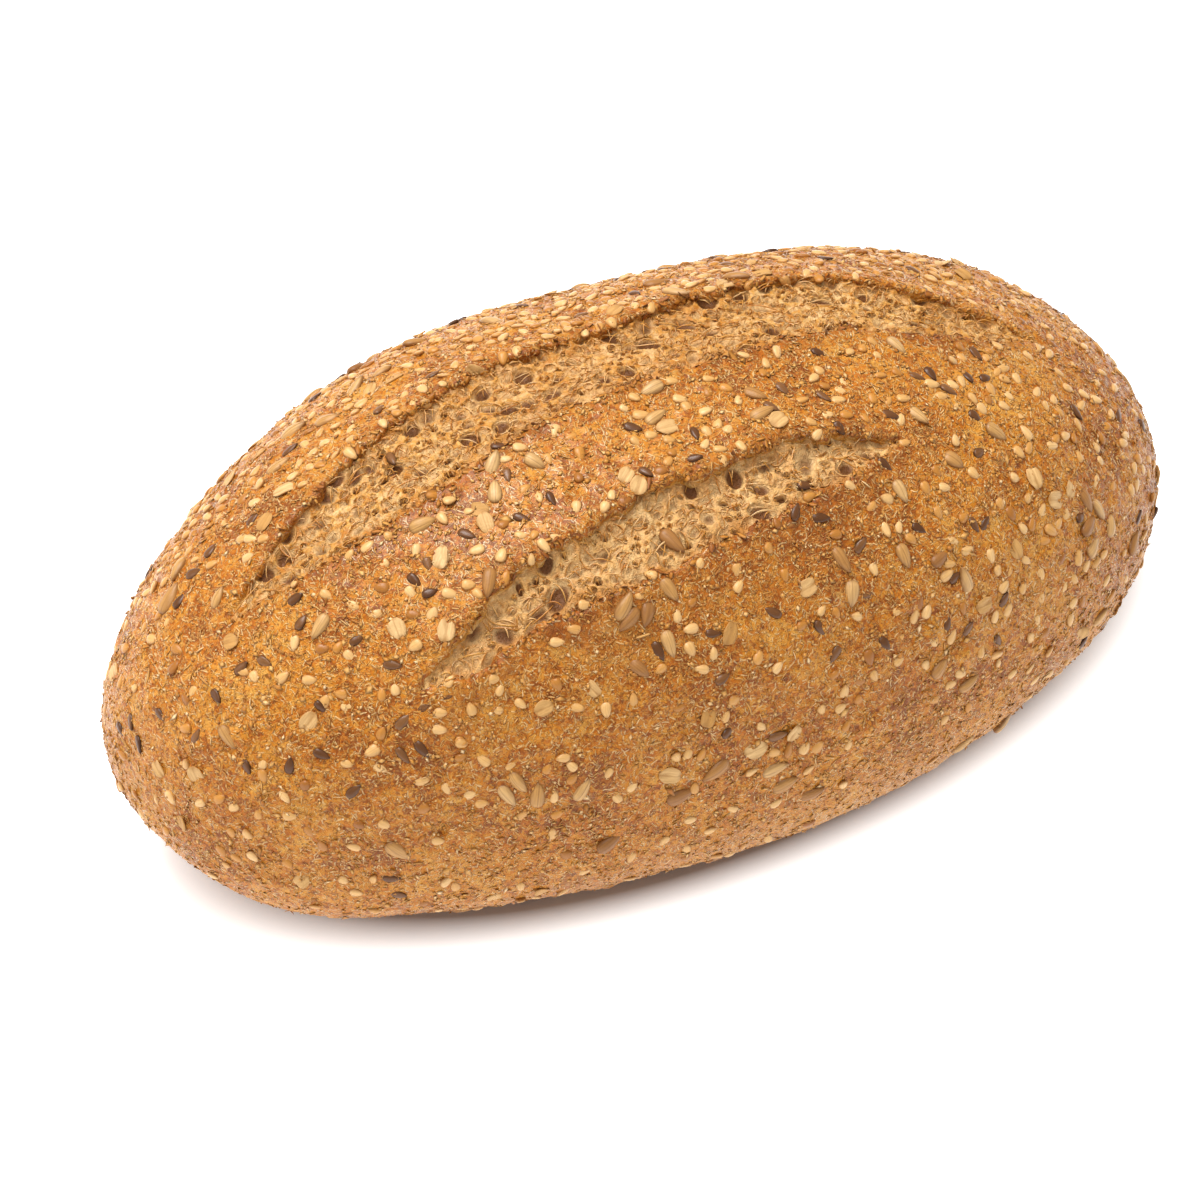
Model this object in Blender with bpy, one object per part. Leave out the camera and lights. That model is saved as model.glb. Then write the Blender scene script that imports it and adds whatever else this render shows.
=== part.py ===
"""A multigrain loaf: a long oval hearth loaf with two slashes across its crest and a seeded crust.

Metres, +Z up. The loaf lies along X on its flat base at z = 0, with the origin under its middle.
The side with -Y is the near one: the shorter slash lies there, and both slashes opened from it.
"""
import math
import random
from collections import namedtuple

import bmesh
import bpy
from mathutils import Matrix, Vector, noise

# The whole loaf
LENGTH = 0.260
WIDTH = 0.1414
HEIGHT = 0.1057
GIRTH_LEVEL = 0.0332      # height of the widest level above the board
BELLY_SINK = 1.385        # the belly would reach this far under the girth, in girth levels
HEIGHT_TAPER = -0.120     # the -X end stands taller
WIDTH_TAPER = 0.035       # the +X end is wider

# How full the outline is: 2 is an ellipse, more is squarer
PLAN_POWER = 2.13
DOME_POWER = 2.125
BELLY_POWER = 2.0

# Swells and hollows of the hand-shaped dough: a direction from the middle, and how far it stands out
Swell = namedtuple("Swell", "way size")
SWELLS = (
    Swell(Vector((-0.41, -0.76, -0.51)), -0.0017),
    Swell(Vector((-0.82, -0.45, -0.37)), 0.0016),
    Swell(Vector((-0.96, -0.10, -0.24)), -0.0013),
    Swell(Vector((-0.94, 0.32, 0.14)), 0.0009),
    Swell(Vector((-0.77, 0.52, 0.37)), -0.0012),
    Swell(Vector((-0.28, 0.70, 0.66)), 0.0016),
    Swell(Vector((0.16, 0.70, 0.69)), -0.0015),
    Swell(Vector((0.74, 0.48, 0.54)), 0.0006),
    Swell(Vector((0.22, -0.85, -0.47)), 0.0005),
    Swell(Vector((0.63, -0.71, -0.33)), 0.0002),
)
SWELL_SPREAD = 0.30       # radians
LUMP_HEIGHT = 0.0007
LUMP_SPAN = 0.022

# A slash seen from above: its ends on X, and the Y of its two edges at even steps between them.
# The far edge is the crust's raised lip. At the near edge the crumb runs out into the crust.
Slash = namedtuple("Slash", "name start end far_edge near_edge depth undercut lip_rise rim_rise")
LONG_SLASH = Slash(
    "long_slash", -0.110, 0.104,
    (-0.0035, 0.0032, 0.0118, 0.0163, 0.0159, 0.0187, 0.0183, 0.0064, -0.0065),
    (-0.0095, -0.0118, -0.0105, -0.0051, -0.0037, -0.0033, -0.0018, -0.0090, -0.0110),
    depth=0.0054, undercut=0.0012, lip_rise=0.0019, rim_rise=0.0007)
SHORT_SLASH = Slash(
    "short_slash", -0.080, 0.052,
    (-0.0408, -0.0388, -0.0343, -0.0332, -0.0301, -0.0307, -0.0288, -0.0302, -0.0330),
    (-0.0432, -0.0453, -0.0444, -0.0455, -0.0450, -0.0435, -0.0414, -0.0383, -0.0340),
    depth=0.0048, undercut=0.0012, lip_rise=0.0021, rim_rise=0.0012)
SLASHES = (LONG_SLASH, SHORT_SLASH)
LIP_REACH = 0.009         # how far behind a lip the crust still rises
RIM_REACH = 0.0045        # the same before the near edge
END_FADE = 0.16           # share of a slash's length over which it fades out at each end
END_WIDTH = 0.25          # how wide it still is at its ends, as a share of its width there
TEAR = 0.0010             # how far the torn edges wander
TEAR_SPAN = 0.0045
NEAR_STEP = 0.20          # depth at the near edge, as a share of the slash's depth
FLOOR_CURVE = 1.5         # above 1 the crumb bulges between its edges
END_RISE = 0.08           # share of its depth by which the floor comes up through the skin at the ends
CUTTER_HEADROOM = 0.010
CUTTER_STEPS = 110
CUTTER_ROWS = 7

# The crust's net of triangles
SPHERE_LEVEL = 7
SKIN_TRIANGLES = 3500
BASE_SNAP = 0.0006

# Seeds that stand on the crust: length, width, thickness, the rings each is turned from, how many
# there are, and the room kept round each
Seed = namedtuple("Seed", "kind length width thickness rings count room")
SEEDS = (
    Seed("sunflower", 0.0076, 0.0044, 0.0027, 4, 50, 0.0052),
    Seed("oat_flake", 0.0060, 0.0044, 0.0017, 3, 14, 0.0050),
    Seed("linseed", 0.0046, 0.0027, 0.0018, 3, 48, 0.0042),
    Seed("sesame", 0.0038, 0.0025, 0.0017, 3, 64, 0.0038),
)
Place = namedtuple("Place", "point normal turn size seed")
SEED_SIDES = 5
SEED_POINTEDNESS = 0.35   # how much wider a seed is towards its blunt end
SEED_SUNK = 0.05          # share of a seed's thickness by which its middle lies under the skin
SEED_SIZE_SPREAD = 0.12
SLASH_MARGIN = 0.0045     # seeds keep this far from a slash's edges
LOWEST_SEED = 0.010
RANDOM_SEED = 29

# How thickly the crust is seeded, from 0 to 1: in the middle, and how that changes along, across,
# on the crest and on the belly
COVER = 0.55
COVER_ALONG = 0.25
COVER_ACROSS = 0.35
COVER_CREST = 0.30
COVER_BELLY = -0.25
LEAST_COVER = 0.15
CREST_LEVEL = 0.085

CRUST_BROWN = (0.46, 0.21, 0.055, 1.0)


def between(values, share):
    """Reads a smooth curve through evenly spaced values, at a share from 0 to 1 along it."""
    place = min(max(share, 0.0), 1.0) * (len(values) - 1)
    step = min(int(place), len(values) - 2)
    rest = place - step
    before = values[max(step - 1, 0)]
    first = values[step]
    second = values[step + 1]
    after = values[min(step + 2, len(values) - 1)]
    slope_in = (second - before) / 2
    slope_out = (after - first) / 2
    return (first + slope_in * rest
            + (3 * (second - first) - 2 * slope_in - slope_out) * rest ** 2
            + (2 * (first - second) + slope_in + slope_out) * rest ** 3)


def plan_share(x, y):
    """How far out a point lies in plan, from 0 at the middle to 1 at the girth."""
    along = abs(x) / (LENGTH / 2)
    across = abs(y) / (WIDTH / 2 * (1 + WIDTH_TAPER * x / (LENGTH / 2)))
    return (along ** PLAN_POWER + across ** PLAN_POWER) ** (1 / PLAN_POWER)


def dome_rise(x):
    """Height of the crest above the girth level."""
    return (HEIGHT - GIRTH_LEVEL) * (1 + HEIGHT_TAPER * x / (LENGTH / 2))


def dome_height(x, y):
    """Height of the smooth dome over a point of the plan."""
    left = max(1 - plan_share(x, y) ** DOME_POWER, 0.0)
    return GIRTH_LEVEL + dome_rise(x) * left ** (1 / DOME_POWER)


def smooth_skin(way):
    """The point of the smooth loaf that lies in a direction from its middle."""
    power = DOME_POWER if way.z > 0 else BELLY_POWER
    plan = (abs(way.x) ** PLAN_POWER + abs(way.y) ** PLAN_POWER) ** (1 / PLAN_POWER)
    reach = (plan ** power + abs(way.z) ** power) ** (-1 / power)
    x = way.x * reach * LENGTH / 2
    y = way.y * reach * WIDTH / 2 * (1 + WIDTH_TAPER * way.x * reach)
    rise = dome_rise(x) if way.z > 0 else GIRTH_LEVEL * BELLY_SINK
    return Vector((x, y, GIRTH_LEVEL + way.z * reach * rise))


def swollen(point):
    """Moves a point on or near the smooth skin out by the dough's swells, hollows and lumps."""
    rise = HEIGHT - GIRTH_LEVEL if point.z > GIRTH_LEVEL else GIRTH_LEVEL * BELLY_SINK
    half = Vector((LENGTH / 2, WIDTH / 2, rise))
    from_middle = point - Vector((0, 0, GIRTH_LEVEL))
    way = Vector(part / size for part, size in zip(from_middle, half)).normalized()
    outward = Vector(part / size for part, size in zip(way, half)).normalized()
    out = LUMP_HEIGHT * noise.noise(point / LUMP_SPAN)
    for swell in SWELLS:
        out += swell.size * math.exp(-(way.angle(swell.way) / SWELL_SPREAD) ** 2)
    return point + outward * out


def slash_share(slash, x):
    """How far along a slash an X lies, from 0 at its start to 1 at its end."""
    return (x - slash.start) / (slash.end - slash.start)


def end_fade(share):
    """From 0 at a slash's ends to 1 over most of its length."""
    from_end = min(max(min(share, 1 - share) / END_FADE, 0.0), 1.0)
    return math.sin(from_end * math.pi / 2)


def slash_edges(slash, share):
    """The Y of a slash's near and far edge, drawn together at its ends."""
    near = between(slash.near_edge, share)
    far = between(slash.far_edge, share)
    middle = (near + far) / 2
    open_share = END_WIDTH + (1 - END_WIDTH) * end_fade(share)
    return middle + (near - middle) * open_share, middle + (far - middle) * open_share


def lip_lift(x, y):
    """How far the crust is lifted beside the slashes: most at each far lip."""
    lift = 0.0
    for slash in SLASHES:
        share = slash_share(slash, x)
        if not 0 < share < 1:
            continue
        near, far = slash_edges(slash, share)
        if y >= far:
            height = slash.lip_rise * math.exp(-((y - far) / LIP_REACH) ** 2)
        elif y > near:
            up = (y - near) / (far - near)
            height = slash.lip_rise * up + slash.rim_rise * (1 - up)
        else:
            height = slash.rim_rise * math.exp(-((near - y) / RIM_REACH) ** 2)
        lift += height * end_fade(share)
    return lift


def new_object(name, form, collection):
    """Makes an object of a bmesh and puts it in a collection."""
    mesh = bpy.data.meshes.new(name)
    form.to_mesh(mesh)
    form.free()
    made = bpy.data.objects.new(name, mesh)
    collection.objects.link(made)
    return made


def apply_modifiers(target):
    """Gives an object its evaluated mesh in place of its modifiers."""
    bpy.context.view_layer.update()
    evaluated = target.evaluated_get(bpy.context.evaluated_depsgraph_get())
    finished = bpy.data.meshes.new_from_object(evaluated)
    target.modifiers.clear()
    old = target.data
    target.data = finished
    bpy.data.meshes.remove(old)


def make_dough(collection):
    """The whole loaf before its slashes: a ball of triangles pressed to the loaf's form."""
    form = bmesh.new()
    bmesh.ops.create_icosphere(form, subdivisions=SPHERE_LEVEL, radius=1.0)
    for vert in form.verts:
        point = swollen(smooth_skin(vert.co.normalized()))
        if point.z > GIRTH_LEVEL:
            point.z += lip_lift(point.x, point.y)
        point.z = max(point.z, 0.0)
        vert.co = point
    return new_object("loaf", form, collection)


def make_slash_cutter(slash, collection):
    """The space that one slash opened: a block of three levels, floor, mouth and headroom.

    The floor is the torn crumb. It leaves the near edge in a low step, sinks in a flat curve and
    runs on under the far lip, so the crust overhangs it there."""
    form = bmesh.new()
    half = 0.5
    bmesh.ops.create_grid(form, x_segments=CUTTER_STEPS, y_segments=CUTTER_ROWS, size=half)
    top = form.faces[:]
    for level in (1, 2):
        raised = bmesh.ops.extrude_face_region(form, geom=top)["geom"]
        if level == 2:
            bmesh.ops.delete(form, geom=top, context="FACES_ONLY")
        verts = [part for part in raised if isinstance(part, bmesh.types.BMVert)]
        bmesh.ops.translate(form, verts=verts, vec=(0, 0, 1))
        top = [part for part in raised if isinstance(part, bmesh.types.BMFace)]
    for vert in form.verts:
        share = vert.co.x + half
        across = vert.co.y + half
        level = round(vert.co.z)
        x = slash.start + share * (slash.end - slash.start)
        near, far = slash_edges(slash, share)
        fade = end_fade(share)
        far += TEAR * fade * noise.noise(Vector((x / TEAR_SPAN, slash.depth / TEAR_SPAN, 3.0)))
        near += TEAR * fade * noise.noise(Vector((x / TEAR_SPAN, slash.depth / TEAR_SPAN, 9.0)))
        if level == 0:
            y = near + across * (far + slash.undercut * fade - near)
            sink = NEAR_STEP + (1 - NEAR_STEP) * across ** FLOOR_CURVE
            mouth_y = near + across * (far - near)
            drop = slash.depth * (sink * fade * (1 + END_RISE) - END_RISE)
            z = dome_height(x, mouth_y) + lip_lift(x, mouth_y) - drop
        else:
            y = near + across * (far - near)
            z = dome_height(x, y) + lip_lift(x, y) + (level - 1) * CUTTER_HEADROOM
        vert.co = swollen(Vector((x, y, z)))
    bmesh.ops.recalc_face_normals(form, faces=form.faces)
    bmesh.ops.triangulate(form, faces=form.faces)
    cutter = new_object(slash.name + "_cutter", form, collection)
    cutter.hide_render = True
    cutter.display_type = "WIRE"
    return cutter


def cut_slashes(loaf, cutters):
    """Takes both slashes out of the dough."""
    for cutter in cutters.objects:
        cut = loaf.modifiers.new(cutter.name, "BOOLEAN")
        cut.operation = "DIFFERENCE"
        cut.solver = "MANIFOLD"     # the exact solver leaves a small hole at a slash's pointed end
        cut.object = cutter
    apply_modifiers(loaf)


def coarsen(loaf):
    """Brings the skin down to its number of triangles, and sets the base flat again."""
    count = sum(len(face.vertices) - 2 for face in loaf.data.polygons)
    fewer = loaf.modifiers.new("coarser", "DECIMATE")
    fewer.ratio = SKIN_TRIANGLES / count
    fewer.use_collapse_triangulate = True
    apply_modifiers(loaf)
    for vert in loaf.data.vertices:
        if vert.co.z < BASE_SNAP:
            vert.co.z = 0.0


def near_slash(point):
    """True within a slash, or so close to its edges that a seed would reach over them."""
    if point.z < GIRTH_LEVEL:
        return False
    for slash in SLASHES:
        if slash.start - SLASH_MARGIN < point.x < slash.end + SLASH_MARGIN:
            near, far = slash_edges(slash, slash_share(slash, point.x))
            if near - SLASH_MARGIN < point.y < far + slash.undercut + SLASH_MARGIN:
                return True
    return False


def seed_cover(point):
    """How thickly the crust is seeded, from 0 to 1: most behind the long slash, along the band
    between the slashes and at the +X end, less on the near flank, least under the -X end."""
    along = point.x / (LENGTH / 2)
    across = point.y / (WIDTH / 2)
    cover = COVER + COVER_ALONG * along + COVER_ACROSS * across
    if point.z > CREST_LEVEL:
        cover += COVER_CREST
    if point.z < GIRTH_LEVEL:
        cover += COVER_BELLY
    return min(max(cover, LEAST_COVER), 1.0)


def scatter(loaf):
    """Draws a place, a facing and a turn for every seed, the largest first, each clear of the rest."""
    draw = random.Random(RANDOM_SEED)
    faces = [face for face in loaf.data.polygons if face.center.z > LOWEST_SEED]
    areas = [face.area for face in faces]
    places = []
    for seed in SEEDS:
        made = 0
        while made < seed.count:
            face = draw.choices(faces, areas)[0]
            corners = [loaf.data.vertices[index].co for index in face.vertices]
            first = math.sqrt(draw.random())
            second = draw.random()
            point = (corners[0] * (1 - first) + corners[1] * first * (1 - second)
                     + corners[2] * first * second)
            turn = draw.uniform(0, math.tau)
            size = 1 + draw.uniform(-SEED_SIZE_SPREAD, SEED_SIZE_SPREAD)
            if point.z < LOWEST_SEED or near_slash(point) or draw.random() > seed_cover(point):
                continue
            if any((point - place.point).length < seed.room + place.seed.room for place in places):
                continue
            places.append(Place(point, face.normal.copy(), turn, size, seed))
            made += 1
    return places


def make_seed(number, place, collection):
    """One seed: a pointed low ball laid flat on the crust, its middle a little under the skin."""
    seed = place.seed
    form = bmesh.new()
    bmesh.ops.create_uvsphere(form, u_segments=SEED_SIDES, v_segments=seed.rings, radius=0.5)
    for vert in form.verts:
        taper = 1 + SEED_POINTEDNESS * vert.co.z
        along = vert.co.z * seed.length
        across = vert.co.x * seed.width * taper
        up = vert.co.y * seed.thickness
        vert.co = Vector((along, across, up)) * place.size
    bmesh.ops.recalc_face_normals(form, faces=form.faces)
    facing = place.normal.to_track_quat("Z", "Y").to_matrix().to_4x4()
    lay = facing @ Matrix.Rotation(place.turn, 4, "Z")
    sunk = place.point - place.normal * seed.thickness * SEED_SUNK
    bmesh.ops.transform(form, matrix=Matrix.Translation(sunk) @ lay, verts=form.verts)
    return new_object(f"{seed.kind}_{number}", form, collection)


def fuse_seeds(loaf, seeds):
    """Joins every seed to the crust in one union, then removes the loose ones."""
    join = loaf.modifiers.new("seeds", "BOOLEAN")
    join.operation = "UNION"
    join.operand_type = "COLLECTION"
    join.solver = "EXACT"
    join.collection = seeds
    apply_modifiers(loaf)
    for seed in list(seeds.objects):
        bpy.data.objects.remove(seed)


def crust_material():
    crust = bpy.data.materials.new("crust")
    crust.use_nodes = True
    surface = crust.node_tree.nodes["Principled BSDF"]
    surface.inputs["Base Color"].default_value = CRUST_BROWN
    surface.inputs["Roughness"].default_value = 0.7
    surface.inputs["Metallic"].default_value = 0.0
    crust.diffuse_color = CRUST_BROWN
    return crust


def new_collection(name):
    made = bpy.data.collections.new(name)
    bpy.context.scene.collection.children.link(made)
    return made


for old in list(bpy.data.objects):
    bpy.data.objects.remove(old)

bread = new_collection("multigrain_loaf")
cutters = new_collection("cutters")
seeds = new_collection("seeds")

loaf = make_dough(bread)
for slash in SLASHES:
    make_slash_cutter(slash, cutters)
cut_slashes(loaf, cutters)
coarsen(loaf)
for number, place in enumerate(scatter(loaf)):
    make_seed(number, place, seeds)
fuse_seeds(loaf, seeds)
loaf.data.materials.clear()
loaf.data.materials.append(crust_material())
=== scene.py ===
import math
from collections import namedtuple

import bmesh
import bpy
import numpy as np
from mathutils import Matrix, Vector, noise
from mathutils.bvhtree import BVHTree


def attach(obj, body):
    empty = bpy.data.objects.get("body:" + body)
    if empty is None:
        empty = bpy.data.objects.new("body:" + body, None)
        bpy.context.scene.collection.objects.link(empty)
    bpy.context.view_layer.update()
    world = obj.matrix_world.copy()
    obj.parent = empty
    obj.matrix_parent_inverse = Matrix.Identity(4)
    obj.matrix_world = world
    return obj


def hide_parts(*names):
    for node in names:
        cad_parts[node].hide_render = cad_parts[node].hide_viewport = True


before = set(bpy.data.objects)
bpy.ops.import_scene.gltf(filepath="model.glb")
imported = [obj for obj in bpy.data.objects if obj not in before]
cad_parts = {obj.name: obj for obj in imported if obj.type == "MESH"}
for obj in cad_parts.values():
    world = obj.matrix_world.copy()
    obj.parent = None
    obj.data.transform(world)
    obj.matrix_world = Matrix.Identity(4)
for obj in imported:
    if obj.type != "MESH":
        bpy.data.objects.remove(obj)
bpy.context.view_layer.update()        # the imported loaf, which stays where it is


# ---- Camera ----
# A long lens looks down on the loaf from its near left. The seeds that stand out are placed in this
# view, in a picture of 1200 by 1200 pixels, and then lie on the crust wherever it is seen from.
CAMERA_TURN = math.radians(-27.65)
CAMERA_RISE = math.radians(46.01)
CAMERA_DISTANCE = 1.3867
CAMERA_AIM = Vector((-0.0109, -0.0013, 0.0390))
CAMERA_LENS = 181.25
SENSOR_WIDTH = 36.0
PICTURE_SIZE = 1200

towards_camera = Vector((
    math.sin(CAMERA_TURN) * math.cos(CAMERA_RISE),
    -math.cos(CAMERA_TURN) * math.cos(CAMERA_RISE),
    math.sin(CAMERA_RISE)))
picture_right = Vector((math.cos(CAMERA_TURN), math.sin(CAMERA_TURN), 0.0))
picture_up = towards_camera.cross(picture_right)
camera_place = CAMERA_AIM + towards_camera * CAMERA_DISTANCE

camera = bpy.data.objects.new("camera", bpy.data.cameras.new("camera"))
camera.data.lens = CAMERA_LENS
camera.data.sensor_width = SENSOR_WIDTH
facing = Matrix((picture_right, picture_up, towards_camera)).transposed().to_4x4()
camera.matrix_world = Matrix.Translation(camera_place) @ facing
bpy.context.scene.collection.objects.link(camera)
bpy.context.scene.camera = camera


# ---- Crust ----
# The loaf's baked skin: one lump of dough that sprang open along two slashes. The far side of each
# slash curled up into a thin lip. The skin is crinkled, blistered and browned most at the rims.
LENGTH = 0.260
WIDTH = 0.1414
HEIGHT = 0.1057
GIRTH_LEVEL = 0.0332      # the height at which the loaf is widest
BELLY_SINK = 1.385        # above 1 the belly would reach below the board, which flattens it
HEIGHT_TAPER = -0.120     # how much higher and wider it is at +X, as a share
WIDTH_TAPER = 0.035
PLAN_POWER = 2.13         # 2 would be an ellipse, and more is fuller
DOME_POWER = 2.125
BELLY_POWER = 2.0

SWELLS = (                # a direction from the middle, and how far the dough stands out there
    ((-0.41, -0.76, -0.51), -0.0017),
    ((-0.82, -0.45, -0.37), 0.0016),
    ((-0.96, -0.10, -0.24), -0.0013),
    ((-0.94, 0.32, 0.14), 0.0009),
    ((-0.77, 0.52, 0.37), -0.0012),
    ((-0.28, 0.70, 0.66), 0.0016),
    ((0.16, 0.70, 0.69), -0.0015),
    ((0.74, 0.48, 0.54), 0.0006),
    ((0.22, -0.85, -0.47), 0.0005),
    ((0.63, -0.71, -0.33), 0.0002),
)
SWELL_SPREAD = 0.30       # radians
LUMP_HEIGHT = 0.0007
LUMP_SPAN = 0.022

# A slash: its ends on X, the Y of its edges at even steps between them, and how the crust stands
# beside it. toast is how far the browning reaches from its far and its near edge, and brown is how
# strong it is there.
Slash = namedtuple(
    "Slash", "name start end far_edge near_edge depth undercut lip_rise rim_rise far_toast near_toast "
    "far_brown near_brown")
LONG_SLASH = Slash(
    "long_slash", -0.110, 0.104,
    (-0.0035, 0.0032, 0.0118, 0.0163, 0.0159, 0.0187, 0.0183, 0.0064, -0.0065),
    (-0.0095, -0.0118, -0.0105, -0.0051, -0.0037, -0.0033, -0.0018, -0.0090, -0.0110),
    0.0054, 0.0012, 0.0019, 0.0007, 0.0030, 0.0036, 0.55, 0.95)
SHORT_SLASH = Slash(
    "short_slash", -0.080, 0.052,
    (-0.0408, -0.0388, -0.0343, -0.0332, -0.0301, -0.0307, -0.0288, -0.0302, -0.0330),
    (-0.0432, -0.0453, -0.0444, -0.0455, -0.0450, -0.0435, -0.0414, -0.0383, -0.0340),
    0.0048, 0.0012, 0.0021, 0.0012, 0.0030, 0.0100, 0.62, 1.00)
SLASHES = (LONG_SLASH, SHORT_SLASH)
LIP_REACH = 0.009         # how far behind a lip the crust still rises
RIM_REACH = 0.0045        # the same before the near edge
END_FADE = 0.16           # share of a slash's length over which it fades out at each end
END_WIDTH = 0.25          # how wide it still is at its ends, as a share of its width there
EDGE_REACH = 0.0016       # how far from a torn edge the crust still counts as torn
BESIDE_NEAR = 0.001       # how far beside its near and its far edge a slash's own skin is known
BESIDE_FAR = 0.006
NEAR_STEP = 0.20          # depth at the near edge, as a share of the slash's depth
FLOOR_CURVE = 1.5         # above 1 the crumb bulges between its edges
END_RISE = 0.08           # share of its depth by which the floor comes up through the skin at the ends
TEAR = 0.0014             # how far the torn edges wander, in long waves and in short ones
TEAR_SPAN = 0.0045
FINE_TEAR = 0.0010
FINE_TEAR_SPAN = 0.0015

BED_DEPTH = 0.0026        # the crust is cut this much deeper, to take the crumb that fills the slash
CUTTER_HEADROOM = 0.010
CUTTER_STEP = 0.0006
CUTTER_ROWS = 16

DOUGH_LEVEL = 8
CRUST_VOXEL = 0.00075
CRUST_TRIANGLES = 194000

# The skin's relief: the span of each size of wrinkle, and how high it stands
CRINKLES = ((0.0060, 0.00028), (0.0026, 0.00024), (0.0014, 0.00014))
RIM_RELIEF = 0.00022      # how much rougher the torn rims are
RIM_SPAN = 0.0020
RELIEF_FADE = 0.0030      # the relief fades out over this height above the board
BASE_SNAP = 0.0004        # what lies lower than this is pressed flat on the board
BLISTER_COUNT = 260
BLISTER_HEIGHT = 0.00045
BLISTER_SPAN = (0.0016, 0.0034)
# Small burst bubbles: the pixel of each one's middle, its radius and its depth
PITS = ((441, 828, 0.0024, 0.0011), (963, 708, 0.0012, 0.0008), (859, 545, 0.0012, 0.0008))
PIT_LIP = 0.35            # how high a pit's lip stands, as a share of its depth
PIT_LIP_WIDTH = 0.0006
TORN_START = 0.0009       # the crust shows crumb from this far under the skin
TORN_REACH = 0.0012
CRUST_SEED = 5


def lattice_noise(points, span, shift=0.0):
    """Smooth noise from -1 to 1 at each row of points, with bumps about `span` across."""
    return np.array([noise.noise(Vector(row)) for row in (points / span + shift).tolist()])


def between(values, share):
    """Reads a smooth curve through evenly spaced values, at shares from 0 to 1 along it."""
    values = np.asarray(values)
    place = np.clip(share, 0.0, 1.0) * (len(values) - 1)
    step = np.minimum(place.astype(int), len(values) - 2)
    rest = place - step
    before = values[np.maximum(step - 1, 0)]
    first = values[step]
    second = values[step + 1]
    after = values[np.minimum(step + 2, len(values) - 1)]
    slope_in = (second - before) / 2
    slope_out = (after - first) / 2
    return (first + slope_in * rest
            + (3 * (second - first) - 2 * slope_in - slope_out) * rest ** 2
            + (2 * (first - second) + slope_in + slope_out) * rest ** 3)


def risen(values, start, reach):
    """How far values have risen from a start over a reach, from 0 to 1."""
    return np.clip((values - start) / reach, 0.0, 1.0)


def dome_rise(x):
    return (HEIGHT - GIRTH_LEVEL) * (1 + HEIGHT_TAPER * x / (LENGTH / 2))


def dome_height(x, y):
    """Height of the smooth dome over the plan."""
    along = np.abs(x) / (LENGTH / 2)
    across = np.abs(y) / (WIDTH / 2 * (1 + WIDTH_TAPER * x / (LENGTH / 2)))
    plan = (along ** PLAN_POWER + across ** PLAN_POWER) ** (1 / PLAN_POWER)
    left = np.maximum(1 - plan ** DOME_POWER, 0.0)
    return GIRTH_LEVEL + dome_rise(x) * left ** (1 / DOME_POWER)


def smooth_skin(ways):
    """The smooth loaf's points in the given directions from its middle."""
    x, y, z = ways.T
    power = np.where(z > 0, DOME_POWER, BELLY_POWER)
    plan = (np.abs(x) ** PLAN_POWER + np.abs(y) ** PLAN_POWER) ** (1 / PLAN_POWER)
    reach = (plan ** power + np.abs(z) ** power) ** (-1 / power)
    place_x = x * reach * LENGTH / 2
    place_y = y * reach * WIDTH / 2 * (1 + WIDTH_TAPER * x * reach)
    rise = np.where(z > 0, dome_rise(place_x), GIRTH_LEVEL * BELLY_SINK)
    return np.stack((place_x, place_y, GIRTH_LEVEL + z * reach * rise), axis=1)


def swollen(points):
    """Moves points on or near the smooth skin out by the dough's swells, hollows and lumps."""
    rise = np.where(points[:, 2] > GIRTH_LEVEL, HEIGHT - GIRTH_LEVEL, GIRTH_LEVEL * BELLY_SINK)
    half = np.stack((np.full(len(rise), LENGTH / 2), np.full(len(rise), WIDTH / 2), rise), axis=1)
    ways = (points - (0, 0, GIRTH_LEVEL)) / half
    ways /= np.linalg.norm(ways, axis=1, keepdims=True)
    outward = ways / half
    outward /= np.linalg.norm(outward, axis=1, keepdims=True)
    out = LUMP_HEIGHT * lattice_noise(points, LUMP_SPAN)
    for way, size in SWELLS:
        angle = np.arccos(np.clip(ways @ Vector(way).normalized(), -1, 1))
        out += size * np.exp(-(angle / SWELL_SPREAD) ** 2)
    return points + outward * out[:, None]


def end_fade(share):
    """From 0 at a slash's ends to 1 over most of its length."""
    return np.sin(risen(np.minimum(share, 1 - share), 0.0, END_FADE) * math.pi / 2)


def slash_edges(slash, share):
    """The Y of a slash's near and far edge, drawn together at its ends."""
    near = between(slash.near_edge, share)
    far = between(slash.far_edge, share)
    middle = (near + far) / 2
    open_share = END_WIDTH + (1 - END_WIDTH) * end_fade(share)
    return middle + (near - middle) * open_share, middle + (far - middle) * open_share


def share_along(slash, x):
    return (x - slash.start) / (slash.end - slash.start)


def lip_lift(x, y):
    """How far the crust is lifted beside the slashes: most at each far lip."""
    lift = np.zeros(len(x))
    for slash in SLASHES:
        share = share_along(slash, x)
        near, far = slash_edges(slash, share)
        up = np.clip((y - near) / (far - near), 0.0, 1.0)
        height = slash.lip_rise * up + slash.rim_rise * (1 - up)
        height = np.where(y >= far, height * np.exp(-((y - far) / LIP_REACH) ** 2), height)
        height = np.where(y <= near, height * np.exp(-((near - y) / RIM_REACH) ** 2), height)
        lift += np.where((share > 0) & (share < 1), height * end_fade(share), 0.0)
    return lift


def skin_height(x, y):
    return dome_height(x, y) + lip_lift(x, y)


def floor_drop(slash, share, across):
    """How far under the skin a slash's torn floor lies: most under the far lip."""
    sink = NEAR_STEP + (1 - NEAR_STEP) * np.clip(across, 0.0, 1.0) ** FLOOR_CURVE
    return slash.depth * (sink * end_fade(share) * (1 + END_RISE) - END_RISE)


def read_values(parts, name, width=1):
    """One value of all points or faces of a mesh, as an array: a row each where it is a vector."""
    values = np.empty(len(parts) * width, np.float32)
    parts.foreach_get(name, values)
    return (values.reshape(-1, width) if width > 1 else values).astype(float)


def read_points(mesh):
    return read_values(mesh.vertices, "co", 3)


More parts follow.
